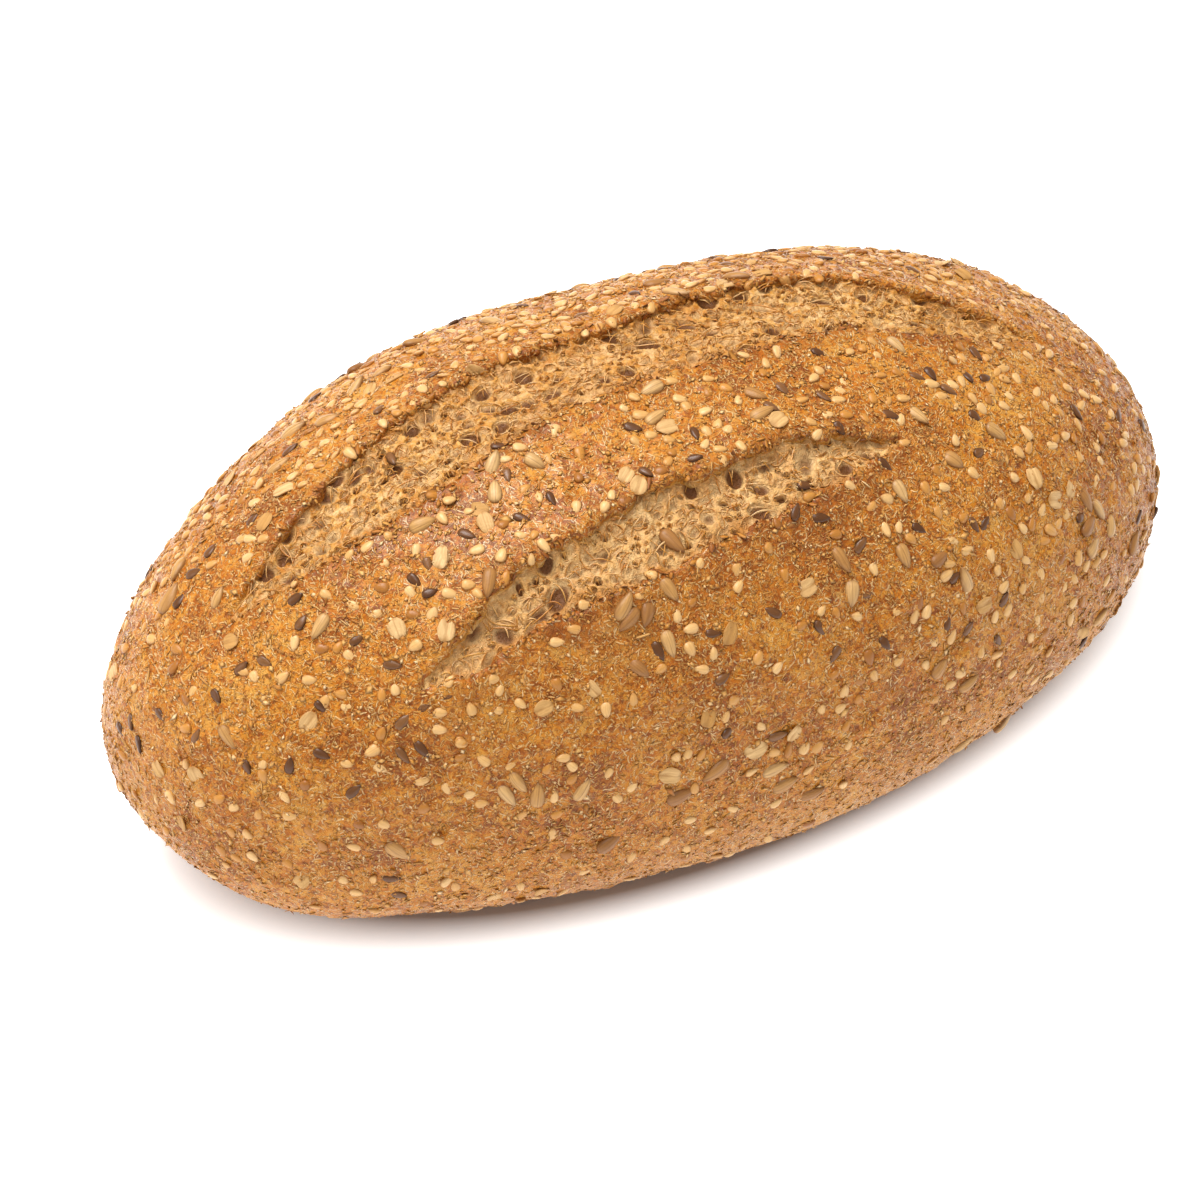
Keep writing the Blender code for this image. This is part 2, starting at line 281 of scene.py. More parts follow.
def read_faces(mesh):
    """The middle of each face of a mesh, the way it faces, and its area."""
    return (read_values(mesh.polygons, "center", 3), read_values(mesh.polygons, "normal", 3),
            read_values(mesh.polygons, "area"))


def write_points(mesh, points):
    mesh.vertices.foreach_set("co", points.astype(np.float32).ravel())
    mesh.update()


def show(name, mesh):
    """Makes an object of a mesh."""
    made = bpy.data.objects.new(name, mesh)
    bpy.context.scene.collection.objects.link(made)
    return made


def mesh_of(name, form):
    """Makes a mesh of a bmesh."""
    mesh = bpy.data.meshes.new(name)
    form.to_mesh(mesh)
    form.free()
    return mesh


def apply_modifiers(target):
    """Gives an object its evaluated mesh in place of its modifiers."""
    bpy.context.view_layer.update()
    evaluated = target.evaluated_get(bpy.context.evaluated_depsgraph_get())
    finished = bpy.data.meshes.new_from_object(evaluated)
    target.modifiers.clear()
    old = target.data
    target.data = finished
    bpy.data.meshes.remove(old)


def thin_out(target, triangles):
    """Collapses an object's flattest triangles until so many are left."""
    target.data.calc_loop_triangles()
    count = len(target.data.loop_triangles)
    if count > triangles:
        fewer = target.modifiers.new("fewer", "DECIMATE")
        fewer.ratio = triangles / count
        apply_modifiers(target)


def ray_tree(target):
    """An object's skin as it is now, kept to lay things on."""
    corners = [vert.co.copy() for vert in target.data.vertices]
    return BVHTree.FromPolygons(corners, [tuple(face.vertices) for face in target.data.polygons])


def add_attribute(mesh, name, values):
    """Keeps a number, or a row of three, for each point of a mesh, for its material to read."""
    values = np.asarray(values, np.float32)
    kind, part = ("FLOAT", "value") if values.ndim == 1 else ("FLOAT_VECTOR", "vector")
    mesh.attributes.new(name, kind, "POINT").data.foreach_set(part, values.ravel())


def point_normals(mesh):
    return read_values(mesh.vertex_normals, "vector", 3)


def make_dough():
    """The whole loaf before its slashes: a ball of triangles pressed to the loaf's form."""
    form = bmesh.new()
    bmesh.ops.create_icosphere(form, subdivisions=DOUGH_LEVEL, radius=1.0)
    dough = show("crust", mesh_of("crust", form))
    ways = read_points(dough.data)
    points = swollen(smooth_skin(ways / np.linalg.norm(ways, axis=1, keepdims=True)))
    lift = lip_lift(points[:, 0], points[:, 1])
    points[:, 2] += np.where(points[:, 2] > GIRTH_LEVEL, lift, 0.0)
    points[:, 2] = np.maximum(points[:, 2], 0.0)
    write_points(dough.data, points)
    return dough


def make_slash_cutter(slash):
    """The space that one slash opened, down to the bed that its crumb lies in."""
    form = bmesh.new()
    half = 0.5
    steps = round((slash.end - slash.start) / CUTTER_STEP)
    bmesh.ops.create_grid(form, x_segments=steps, y_segments=CUTTER_ROWS, size=half)
    top = form.faces[:]
    for level in (1, 2):
        raised = bmesh.ops.extrude_face_region(form, geom=top)["geom"]
        if level == 2:
            bmesh.ops.delete(form, geom=top, context="FACES_ONLY")
        verts = [part for part in raised if isinstance(part, bmesh.types.BMVert)]
        bmesh.ops.translate(form, verts=verts, vec=(0, 0, 1))
        top = [part for part in raised if isinstance(part, bmesh.types.BMFace)]
    bmesh.ops.recalc_face_normals(form, faces=form.faces)
    bmesh.ops.triangulate(form, faces=form.faces)
    cutter = show(slash.name + "_cutter", mesh_of("cutter", form))
    grid = read_points(cutter.data)
    share = grid[:, 0] + half
    across = grid[:, 1] + half
    level = np.round(grid[:, 2])
    x = slash.start + share * (slash.end - slash.start)
    near, far = slash_edges(slash, share)
    fade = end_fade(share)
    zero = np.zeros(len(x))
    for edge, line in ((far, 3.0), (near, 9.0)):
        along = np.stack((x, zero + slash.depth, zero + line), axis=1)
        edge += TEAR * fade * lattice_noise(along * (1, 1, TEAR_SPAN), TEAR_SPAN)
        edge += FINE_TEAR * fade * lattice_noise(along * (1, 1, FINE_TEAR_SPAN), FINE_TEAR_SPAN)
    mouth_y = near + across * (far - near)
    skin = skin_height(x, mouth_y)
    floor_y = near + across * (far + slash.undercut * fade - near)
    floor_z = skin - floor_drop(slash, share, across) - BED_DEPTH * fade
    y = np.where(level == 0, floor_y, mouth_y)
    z = np.where(level == 0, floor_z, skin + (level - 1) * CUTTER_HEADROOM)
    write_points(cutter.data, swollen(np.stack((x, y, z), axis=1)))
    return cutter


def depth_and_rims(points):
    """For points of the crust: how far each lies under the skin beside a slash, how much the rims
    there are toasted, and how close it is to a torn edge, both from 0 to 1."""
    x = points[:, 0]
    y = points[:, 1]
    level = points[:, 2] - (swollen(points)[:, 2] - points[:, 2])
    under = np.zeros(len(x))
    toasted = np.zeros(len(x))
    at_edge = np.zeros(len(x))
    skin = skin_height(x, y)
    for slash in SLASHES:
        share = share_along(slash, x)
        near, far = slash_edges(slash, share)
        inside = (share > 0) & (share < 1) & (level > GIRTH_LEVEL)
        beside = inside & (y > near - BESIDE_NEAR) & (y < far + BESIDE_FAR)
        under = np.where(beside, np.maximum(under, skin - level), under)
        far_side = y > (near + far) / 2
        reach = np.where(far_side, slash.far_toast, slash.near_toast)
        away = np.maximum(np.maximum(y - far, near - y), 0.0)
        glow = np.exp(-(away / reach) ** 2) * end_fade(share)
        glow *= np.where(far_side, slash.far_brown, slash.near_brown)
        toasted = np.where(inside, np.maximum(toasted, glow), toasted)
        close = np.exp(-(away / EDGE_REACH) ** 2) * end_fade(share)
        at_edge = np.where(inside, np.maximum(at_edge, close), at_edge)
    return under, toasted, at_edge


def ray_to_skin(skin, pixel_x, pixel_y):
    """The point of the skin that the camera sees at a pixel, and the way the skin faces there."""
    scale = PICTURE_SIZE * CAMERA_LENS / SENSOR_WIDTH
    way = (picture_right * (pixel_x - PICTURE_SIZE / 2) - picture_up * (pixel_y - PICTURE_SIZE / 2)
           - towards_camera * scale)
    point, normal, _, _ = skin.ray_cast(camera_place, way.normalized())
    return point, normal


crust = make_dough()
for slash in SLASHES:
    cutter = make_slash_cutter(slash)
    cut = crust.modifiers.new(cutter.name, "BOOLEAN")
    cut.operation = "DIFFERENCE"
    cut.solver = "MANIFOLD"
    cut.object = cutter
    apply_modifiers(crust)
    bpy.data.objects.remove(cutter)
even = crust.modifiers.new("even", "REMESH")
even.mode = "VOXEL"
even.voxel_size = CRUST_VOXEL
apply_modifiers(crust)

# The smooth skin, kept to lay the seeds on
seed_bed = ray_tree(crust)
bed_places, bed_facings, bed_areas = read_faces(crust.data)
bed_under, _, _ = depth_and_rims(bed_places)

# The relief, along the smooth skin's own normals
points = read_points(crust.data)
normals = point_normals(crust.data)
relief = np.zeros(len(points))
for span, height in CRINKLES:
    ridge = 1 - 2 * np.abs(lattice_noise(points, span, 7.0))
    relief += height * ridge
_, _, at_edge = depth_and_rims(points)
relief += RIM_RELIEF * at_edge * lattice_noise(points, RIM_SPAN, 31.0)
draw = np.random.default_rng(CRUST_SEED)
for place in bed_places[draw.integers(0, len(bed_places), BLISTER_COUNT)]:
    span = draw.uniform(*BLISTER_SPAN)
    away = np.linalg.norm(points - place, axis=1)
    relief += BLISTER_HEIGHT * np.exp(-(away / span) ** 4)
for pixel_x, pixel_y, span, depth in PITS:
    place, _ = ray_to_skin(seed_bed, pixel_x, pixel_y)
    away = np.linalg.norm(points - place, axis=1)
    lip = PIT_LIP * np.exp(-((away - span) / PIT_LIP_WIDTH) ** 2)
    relief += depth * (lip - np.exp(-(away / span) ** 4))
relief *= risen(points[:, 2], 0.0, RELIEF_FADE)
points += normals * relief[:, None]
points[:, 2] = np.where(points[:, 2] < BASE_SNAP, 0.0, points[:, 2])
write_points(crust.data, points)
thin_out(crust, CRUST_TRIANGLES)

under, toasted, _ = depth_and_rims(read_points(crust.data))
add_attribute(crust.data, "torn", risen(under, TORN_START, TORN_REACH))
add_attribute(crust.data, "toasted", toasted)
add_attribute(crust.data, "outward", point_normals(crust.data))
crust.data.shade_smooth()


def feed(tree, socket, value):
    """Gives a socket its value: a link from another socket, or else a fixed one."""
    if isinstance(value, bpy.types.NodeSocket):
        tree.links.new(value, socket)
    elif socket.type == "RGBA":
        socket.default_value = (*value, 1.0)
    else:
        socket.default_value = value


def add_node(tree, kind, **settings):
    """Adds a node. A setting is one of its own values, or else the value of its socket."""
    node = tree.nodes.new(kind)
    for name, value in settings.items():
        if hasattr(node, name):
            setattr(node, name, value)
        else:
            feed(tree, node.inputs[name.replace("_", " ")], value)
    return node


def feed_all(tree, node, values):
    for socket, value in zip(node.inputs, values):
        feed(tree, socket, value)
    return node.outputs


def work_out(tree, operation, *values):
    """A Math node on sockets or fixed numbers."""
    return feed_all(tree, add_node(tree, "ShaderNodeMath", operation=operation), values)[0]


def times(tree, first, second):
    return work_out(tree, "MULTIPLY", first, second)


def vector_work(tree, operation, *values):
    """A Vector Math node on sockets or fixed vectors. Returns its vector and its number."""
    return feed_all(tree, add_node(tree, "ShaderNodeVectorMath", operation=operation), values)[:2]


def spread_range(tree, value, low, high, new_low=0.0, new_high=1.0):
    """Moves a number from one range to another, and keeps it there."""
    return feed_all(tree, add_node(tree, "ShaderNodeMapRange"), (value, low, high, new_low, new_high))[0]


def colour_ramp(tree, value, stops):
    """Turns a number into a colour by a ramp of (place, colour) stops."""
    ramp = add_node(tree, "ShaderNodeValToRGB", Fac=value)
    steps = ramp.color_ramp.elements
    while len(steps) < len(stops):
        steps.new(0.5)
    for step, (place, colour) in zip(steps, stops):
        step.position = place
        step.color = (*colour, 1.0)
    return ramp.outputs["Color"]


def blend_colours(tree, share, first, second):
    """Mixes two colours, each a socket or a fixed colour, by a share."""
    mix = add_node(tree, "ShaderNodeMix", data_type="RGBA")
    for number, value in ((0, share), (6, first), (7, second)):
        feed(tree, mix.inputs[number], value)
    return mix.outputs[2]


def noise_on(tree, place, scale, detail, distortion=0.0):
    return add_node(tree, "ShaderNodeTexNoise", Vector=place, Scale=scale, Detail=detail,
                    Distortion=distortion).outputs["Fac"]


def attribute_of(tree, name, output="Fac"):
    return add_node(tree, "ShaderNodeAttribute", attribute_name=name).outputs[output]


def parts_of(tree, kind, value):
    """Takes a colour or a place apart into its three numbers."""
    return feed_all(tree, add_node(tree, kind), (value,))


def new_group(name, given, results):
    """Starts a node group with named sockets. Returns its tree, what it is given, and its end."""
    tree = bpy.data.node_groups.new(name, "ShaderNodeTree")
    for socket, kind in given:
        tree.interface.new_socket(socket, in_out="INPUT", socket_type=kind)
    for socket in results:
        tree.interface.new_socket(socket, in_out="OUTPUT", socket_type="NodeSocketFloat")
    return tree, tree.nodes.new("NodeGroupInput").outputs, tree.nodes.new("NodeGroupOutput")


def lay_strands(tree, place, outward, scale, shift, width, length):
    """A layer of short curved strands that lie along the skin, one in each cell of a cell pattern.
    Returns their rounded bodies, from 0 to 1, and a number that differs from strand to strand."""
    scaled = add_node(tree, "ShaderNodeVectorMath", operation="SCALE", Scale=scale)
    feed(tree, scaled.inputs[0], place)
    shifted, _ = vector_work(tree, "ADD", scaled.outputs[0], shift)
    cells = add_node(tree, "ShaderNodeTexVoronoi", Scale=1.0, Vector=shifted)
    pick = parts_of(tree, "ShaderNodeSeparateColor", cells.outputs["Color"])
    from_middle, _ = vector_work(tree, "SUBTRACT", shifted, cells.outputs["Position"])
    centred, _ = vector_work(tree, "SUBTRACT", cells.outputs["Color"], (0.5, 0.5, 0.5))
    across, _ = vector_work(tree, "CROSS_PRODUCT", outward, centred)
    across, _ = vector_work(tree, "NORMALIZE", across)
    way, _ = vector_work(tree, "CROSS_PRODUCT", across, outward)
    _, along = vector_work(tree, "DOT_PRODUCT", from_middle, way)
    _, aside = vector_work(tree, "DOT_PRODUCT", from_middle, across)
    curl = times(tree, times(tree, along, along), spread_range(tree, pick[2], 0.0, 1.0, -0.5, 0.5))
    aside = work_out(tree, "ABSOLUTE", work_out(tree, "ADD", aside, curl))
    body = spread_range(tree, aside, width, width * 0.25)
    ends = spread_range(tree, work_out(tree, "ABSOLUTE", along), length, length * 0.7)
    return times(tree, body, ends), pick[1]


# The strands' layers: how densely each lies, and a strand's width and length in its cell
STRAND_LAYERS = ((1.0, 0.17, 0.55), (0.75, 0.13, 0.60), (1.35, 0.19, 0.50))


def make_crinkle_group():
    """Baked dough seen close: short pale strands lying all ways over each other, the palest of them as
    painted glints, small pits darkened as painted shade, and the height of it all. Crust and crumb both
    use it, each at its own scale."""
    tree, given, result = new_group(
        "baked_crinkle",
        (("Place", "NodeSocketVector"), ("Outward", "NodeSocketVector"), ("Scale", "NodeSocketFloat")),
        ("Strands", "Glints", "Pit Shade", "Height"))
    place = given["Place"]
    scale = given["Scale"]
    layers = []
    for number, (share, width, length) in enumerate(STRAND_LAYERS):
        shift = (3.7 * number, 1.9 * number, 5.3 * number)
        body, tone = lay_strands(tree, place, given["Outward"], times(tree, scale, share), shift, width,
                                 length)
        pale = times(tree, body, spread_range(tree, tone, 0.28, 0.80))
        glint = times(tree, body, spread_range(tree, tone, 0.80, 0.90))
        raised = times(tree, body, spread_range(tree, tone, 0.20, 0.80, 0.35, 1.0))
        layers.append((pale, glint, raised))
    strands, glints, height = layers[0]
    for pale, glint, raised in layers[1:]:
        strands = work_out(tree, "MAXIMUM", strands, pale)
        glints = work_out(tree, "MAXIMUM", glints, glint)
        height = work_out(tree, "MAXIMUM", height, raised)
    holes = add_node(tree, "ShaderNodeTexVoronoi", Vector=place, Scale=times(tree, scale, 0.55)).outputs
    choice = parts_of(tree, "ShaderNodeSeparateColor", holes["Color"])[1]
    round_hole = spread_range(tree, holes["Distance"], 0.12, 0.30, 1.0, 0.0)
    # painted shade: the pits sink in the height, and this mask darkens them in the materials
    pits = times(tree, round_hole, spread_range(tree, choice, 0.78, 0.84))
    rough = noise_on(tree, place, times(tree, scale, 0.9), 3.0)
    height = work_out(tree, "ADD", height, times(tree, rough, 0.5))
    height = work_out(tree, "SUBTRACT", height, pits)
    feed_all(tree, result, (strands, glints, pits, height))
    return tree


CRINKLE = make_crinkle_group()


def place_crinkle(tree, place, scale):
    outward = attribute_of(tree, "outward", "Vector")
    return add_node(tree, "ShaderNodeGroup", node_tree=CRINKLE, Place=place, Outward=outward,
                    Scale=scale).outputs


def new_material(name, roughness, specular):
    """A material with its surface shader, ready for its nodes."""
    made = bpy.data.materials.new(name)
    made.use_nodes = True
    tree = made.node_tree
    surface = tree.nodes["Principled BSDF"]
    surface.inputs["Roughness"].default_value = roughness
    surface.inputs["Specular IOR Level"].default_value = specular
    return made, tree, surface, tree.nodes.new("ShaderNodeTexCoord").outputs["Object"]


def bump_of(tree, surface, height, distance):
    bump = add_node(tree, "ShaderNodeBump", Distance=distance, Height=height)
    tree.links.new(bump.outputs["Normal"], surface.inputs["Normal"])


def flake_tones(tree, place, scale):
    """Flakes that lie edge to edge: a number that is even over each flake and differs between them."""
    wander = add_node(tree, "ShaderNodeTexNoise", Scale=scale * 1.1, Detail=1.0, Vector=place)
    aside, _ = vector_work(tree, "SUBTRACT", wander.outputs["Color"], (0.5, 0.5, 0.5))
    aside, _ = vector_work(tree, "MULTIPLY", aside, (1.6 / scale, 1.6 / scale, 1.6 / scale))
    warped, _ = vector_work(tree, "ADD", place, aside)
    cells = add_node(tree, "ShaderNodeTexVoronoi", Scale=scale, Vector=warped)
    return parts_of(tree, "ShaderNodeSeparateColor", cells.outputs["Color"])[0]


CRUST_DARK = (0.23, 0.055, 0.003)
CRUST_MIDDLE = (0.43, 0.116, 0.005)
CRUST_GOLD = (0.54, 0.190, 0.012)
CRUST_PALE = (0.64, 0.30, 0.050)
CRUST_CREST_FLECK_SHEEN = (0.76, 0.44, 0.130)
CRUST_STREAK = (0.66, 0.33, 0.062)
CRUST_GLINT = (0.88, 0.63, 0.32)
CRUST_TOAST_AND_PIT_SHADE = (0.20, 0.048, 0.004)
CRUST_SCORCHED = (0.40, 0.105, 0.006)
CRUST_BELLY = (0.55, 0.250, 0.052)
CRUST_FOOT_SHADE = (0.33, 0.115, 0.014)
CRUMB_CREAM = (0.74, 0.475, 0.205)
CRUMB_GOLD = (0.62, 0.300, 0.054)
CRUMB_ORANGE = (0.47, 0.168, 0.017)

# Scales of the browning's patterns, in cells a metre, from blotches of 24 mm to grain under 1 mm
BLOTCHES = 42.0
SCORCHES = 65.0
OUTLINE_PATCHES = 190.0
BRAN_OUTLINES = 300.0
SPOTS = 330.0
FLAKES = ((430.0, 0.15), (820.0, 0.17))        # each with its share in the tone
CRUST_STRANDS = 760.0
DARK_GRAIN = 1150.0
PALE_GRAIN = 1500.0
CRUST_BUMP = 0.00024


def make_crust_material():
    made, tree, surface, place = new_material("crust_baked", 0.48, 0.18)
    surface.inputs["Coat Roughness"].default_value = 0.27
    crinkle = place_crinkle(tree, place, CRUST_STRANDS)
    close = noise_on(tree, place, SPOTS, 3.0, 0.6)
    mottle = work_out(tree, "ADD", times(tree, noise_on(tree, place, BLOTCHES, 3.0), 0.50),
                      times(tree, close, 0.28))
    for scale, share in FLAKES:
        mottle = work_out(tree, "ADD", mottle, times(tree, flake_tones(tree, place, scale), share))
    colour = colour_ramp(tree, mottle, (
        (0.42, CRUST_DARK), (0.51, CRUST_MIDDLE), (0.61, CRUST_GOLD), (0.76, CRUST_PALE)))

    # paler towards the belly, most on the right, and scorched in patches along the torn rims
    where = parts_of(tree, "ShaderNodeSeparateXYZ", place)
    belly = times(tree, spread_range(tree, where["Z"], 0.042, 0.014, 0.0, 0.65),
                  spread_range(tree, where["X"], -0.085, -0.01, 0.3, 1.0))
    colour = blend_colours(tree, belly, colour, CRUST_BELLY)
    patches = spread_range(tree, noise_on(tree, place, SCORCHES, 2.0), 0.42, 0.58, 0.25, 1.0)
    toast = times(tree, attribute_of(tree, "toasted"), patches)
    browned = colour_ramp(tree, close, ((0.42, CRUST_TOAST_AND_PIT_SHADE), (0.64, CRUST_SCORCHED)))
    colour = blend_colours(tree, times(tree, toast, 0.95), colour, browned)

    # thin flakes of bran under the glaze, seen by their pale edges, and a grain of light specks
    edges = add_node(tree, "ShaderNodeTexVoronoi", feature="DISTANCE_TO_EDGE", Scale=BRAN_OUTLINES,
                     Vector=place)
    outline = times(tree, spread_range(tree, edges.outputs["Distance"], 0.02, 0.07, 1.0, 0.0),
                    spread_range(tree, noise_on(tree, place, OUTLINE_PATCHES, 2.0), 0.52, 0.66))
    grain = spread_range(tree, noise_on(tree, place, PALE_GRAIN, 2.0, 0.8), 0.54, 0.66)
    flecks = times(tree, crinkle["Strands"], 0.70)
    for layer, share in ((grain, 0.35), (outline, 0.55)):
        flecks = work_out(tree, "MAXIMUM", flecks, times(tree, layer, share))
    flecks = times(tree, flecks, spread_range(tree, toast, 0.1, 0.9, 1.0, 0.35))
    # painted sheen: the flecks are paler towards the crest
    crest_sheen = spread_range(tree, where["Z"], 0.055, 0.090)
    colour = blend_colours(tree, flecks, colour, blend_colours(tree, crest_sheen, CRUST_STREAK, CRUST_CREST_FLECK_SHEEN))

    # dark grain and pits painted dark as shade, painted glints on single strands, painted shade at the
    # foot by the board, and the crumb at the torn edges
    dark_grain = spread_range(tree, noise_on(tree, place, DARK_GRAIN, 2.0, 0.8), 0.44, 0.34)
    dark_grain_and_pit_shade = work_out(tree, "MAXIMUM", times(tree, dark_grain, 0.75), times(tree, crinkle["Pit Shade"], 0.75))
    colour = blend_colours(tree, dark_grain_and_pit_shade, colour, CRUST_TOAST_AND_PIT_SHADE)
    # painted highlight: the palest single strands take a glint colour
    colour = blend_colours(tree, times(tree, crinkle["Glints"], 0.42), colour, CRUST_GLINT)
    # painted shade: darker towards the board, where the shadow under the belly falls
    base = spread_range(tree, where["Z"], 0.014, 0.003, 0.0, 0.80)
    colour = blend_colours(tree, base, colour, CRUST_FOOT_SHADE)
    inside = colour_ramp(tree, close, ((0.35, CRUMB_ORANGE), (0.5, CRUMB_GOLD), (0.65, CRUMB_CREAM)))
    colour = blend_colours(tree, attribute_of(tree, "torn"), colour, inside)
    roughness = spread_range(tree, crinkle["Strands"], 0.0, 1.0, 0.52, 0.30)
    glaze = spread_range(tree, crinkle["Strands"], 0.2, 0.9, 0.16, 0.50)
    for name, value in (("Base Color", colour), ("Roughness", roughness), ("Coat Weight", glaze)):
        tree.links.new(value, surface.inputs[name])
    bump_of(tree, surface, crinkle["Height"], CRUST_BUMP)
    return made


crust.data.materials.clear()
crust.data.materials.append(make_crust_material())
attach(crust, "root")
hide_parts("loaf")


# ---- Crumb in the slashes ----
# The soft inside that the slashes laid open: torn wheat crumb, a web of thin strands round bubbles.
# Each piece lies in the bed under its slash, rises to the near rim and runs in under the far lip.
CRUMB_STEP = 0.00036
CRUMB_UNDER = 0.0036      # how deep the piece reaches under its surface
CRUMB_ROOM = 0.0016       # how high its space reaches above it
CRUMB_MARGIN = 0.0024     # how far it reaches into the crust on each side
CRUMB_SINK = 0.9          # how fast it dips under the crust outside the edges
LEAST_DROP = 0.00015
WALL_START = 0.58         # share of the slash's width at which the crumb climbs to the lip
WALL_CLIMB = (0.76, 1.02) # share of the depth that it climbs, here less and there more
WALL_CURVE = 1.5
WALL_SPAN = 0.019
CRUMB_TRIANGLES = {"long_slash": 190000, "short_slash": 110000}
# The bubbles' radii, each with the share of the slash that it may cover
BUBBLES = ((0.0021, 0.035), (0.0017, 0.10), (0.0013, 0.30), (0.0010, 0.50), (0.00075, 0.50))
BUBBLE_PACKING = 0.98     # how close bubbles lie, as a share of the sum of their radii
BUBBLE_SPREAD = (0.8, 1.25)
BUBBLE_STRETCH = (0.95, 1.7)
BUBBLE_TURN = 0.5         # radians
BUBBLE_FLATNESS = 0.70    # most were torn open into dishes, this deep for their radius
LARGEST_BUBBLE = 0.0035   # scales how large a bubble fits: less at the ends and by the near rim
TRIES_A_BUBBLE = 3
HOLE_SHARE = 0.38         # this share of the small bubbles away from the lip are deep round holes
HOLE_RADIUS = 0.0016
HOLE_SIZE = 0.55
HOLE_DEPTH = 2.2
STRAND_POINTS = 7
STRAND_THICK = (0.00011, 0.00024)
STRANDS_A_BUBBLE = 5
RIM_SWEEP = (1.0, 2.2)    # how far a thread runs round its bubble, in radians, and at which radius
RIM_RADIUS = (0.95, 1.25)
LOOSE_SHARE = 0.60        # this share of the threads hang loose across a bubble, on wider arcs
LOOSE_SWEEP = (0.3, 0.8)
LOOSE_RADIUS = (1.5, 4.5)
LOOSE_OFFSET = 0.6        # how far beside its bubble's middle it passes, in bubble radii
LOOSE_ARCH = (0.0002, 0.0011)
STRAND_LIFT = 0.0002
STRAND_WOBBLE = 0.00005
UNEVEN = ((0.00026, 0.0034), (0.00014, 0.0015))       # the crumb's unevenness: heights and spans
GRAIN = (0.00007, 0.0011)
WAVE_COUNT = 18
WAVE_SPREAD = (0.6, 1.4)
HOLLOW_START = 0.25       # how hollow the crumb's own surface counts, where 1 is a deep bubble
HOLLOW_DEPTH = 0.0024     # the depth over which this grows by 1
NEAR_TOAST = 0.0030       # how far the crumb is browned beside the near rim and under the far lip
FAR_TOAST = 0.0022
FAR_TOAST_SHARE = 0.7
STEEP_START = 0.97        # how level a face is, from 1 down: here it starts to count as a steep wall
STEEP_REACH = 0.45
CRUMB_SEED = 11


def waves(draw, span, x, y, z):
    """Smooth random unevenness, from about -1 to 1: many waves laid over each other."""
    total = 0.0
    for _ in range(WAVE_COUNT):
        way = draw.normal(size=3)
        way *= math.tau / span / np.linalg.norm(way) * draw.uniform(*WAVE_SPREAD)
        total = total + np.sin(way[0] * x + way[1] * y + way[2] * z + draw.uniform(0, math.tau))
    return total / math.sqrt(WAVE_COUNT)


def mesh_of_arrays(name, places, corners, counts):
    """Makes an object of arrays: its points, the corners of one face after the other, and how many
    corners each face has."""
    mesh = bpy.data.meshes.new(name)
    mesh.vertices.add(len(places))
    mesh.loops.add(len(corners))
    mesh.polygons.add(len(counts))
    mesh.loops.foreach_set("vertex_index", corners.astype(np.int32))
    mesh.polygons.foreach_set("loop_start", (np.cumsum(counts) - counts).astype(np.int32))
    write_points(mesh, places)
    mesh.update(calc_edges=True)
    return show(name, mesh)


def skin_of_field(name, field, corner, step):
    """The skin between the cells of a field below zero and those above: one point in each cell that
    it passes through, and one face across each edge between cells that it crosses."""
    cells = tuple(size - 1 for size in field.shape)
    total = np.zeros((*cells, 3), np.float32)
    hits = np.zeros(cells, np.float32)
    crossings = []
    for axis in range(3):
        first = np.moveaxis(field, axis, 0)[:-1]
        second = np.moveaxis(field, axis, 0)[1:]
        crossed = (first < 0) != (second < 0)
        share = np.where(crossed, first / np.where(crossed, first - second, 1), 0)
        crossings.append((crossed, first < 0))
        others = [other for other in range(3) if other != axis]
        total_here = np.moveaxis(total, axis, 0)
        hits_here = np.moveaxis(hits, axis, 0)
        for near in (0, 1):
            for far in (0, 1):
                window = (slice(None), slice(near, crossed.shape[1] - 1 + near),
                          slice(far, crossed.shape[2] - 1 + far))
                hits_here += crossed[window]
                total_here[..., axis] += share[window]
                total_here[..., others[0]] += near * crossed[window]
                total_here[..., others[1]] += far * crossed[window]
    used = hits > 0
    number = np.full(cells, -1)
    number[used] = np.arange(used.sum())
    places = np.argwhere(used) + total[used] / hits[used][:, None]
    quads = []
    for axis, (crossed, leaving) in enumerate(crossings):
        numbers = np.moveaxis(number, axis, 0)
        inner = crossed[:, 1:-1, 1:-1]
        corners = np.stack((numbers[:, :-1, :-1][inner], numbers[:, 1:, :-1][inner],
                            numbers[:, 1:, 1:][inner], numbers[:, :-1, 1:][inner]), axis=1)
        turned = leaving[:, 1:-1, 1:-1][inner] == (axis != 1)
        quads.append(np.where(turned[:, None], corners, corners[:, ::-1]))
    quads = np.concatenate(quads)
    made = mesh_of_arrays(name, np.asarray(corner) + places * step, quads.ravel(), np.full(len(quads), 4))
    made.data.validate()
    return made


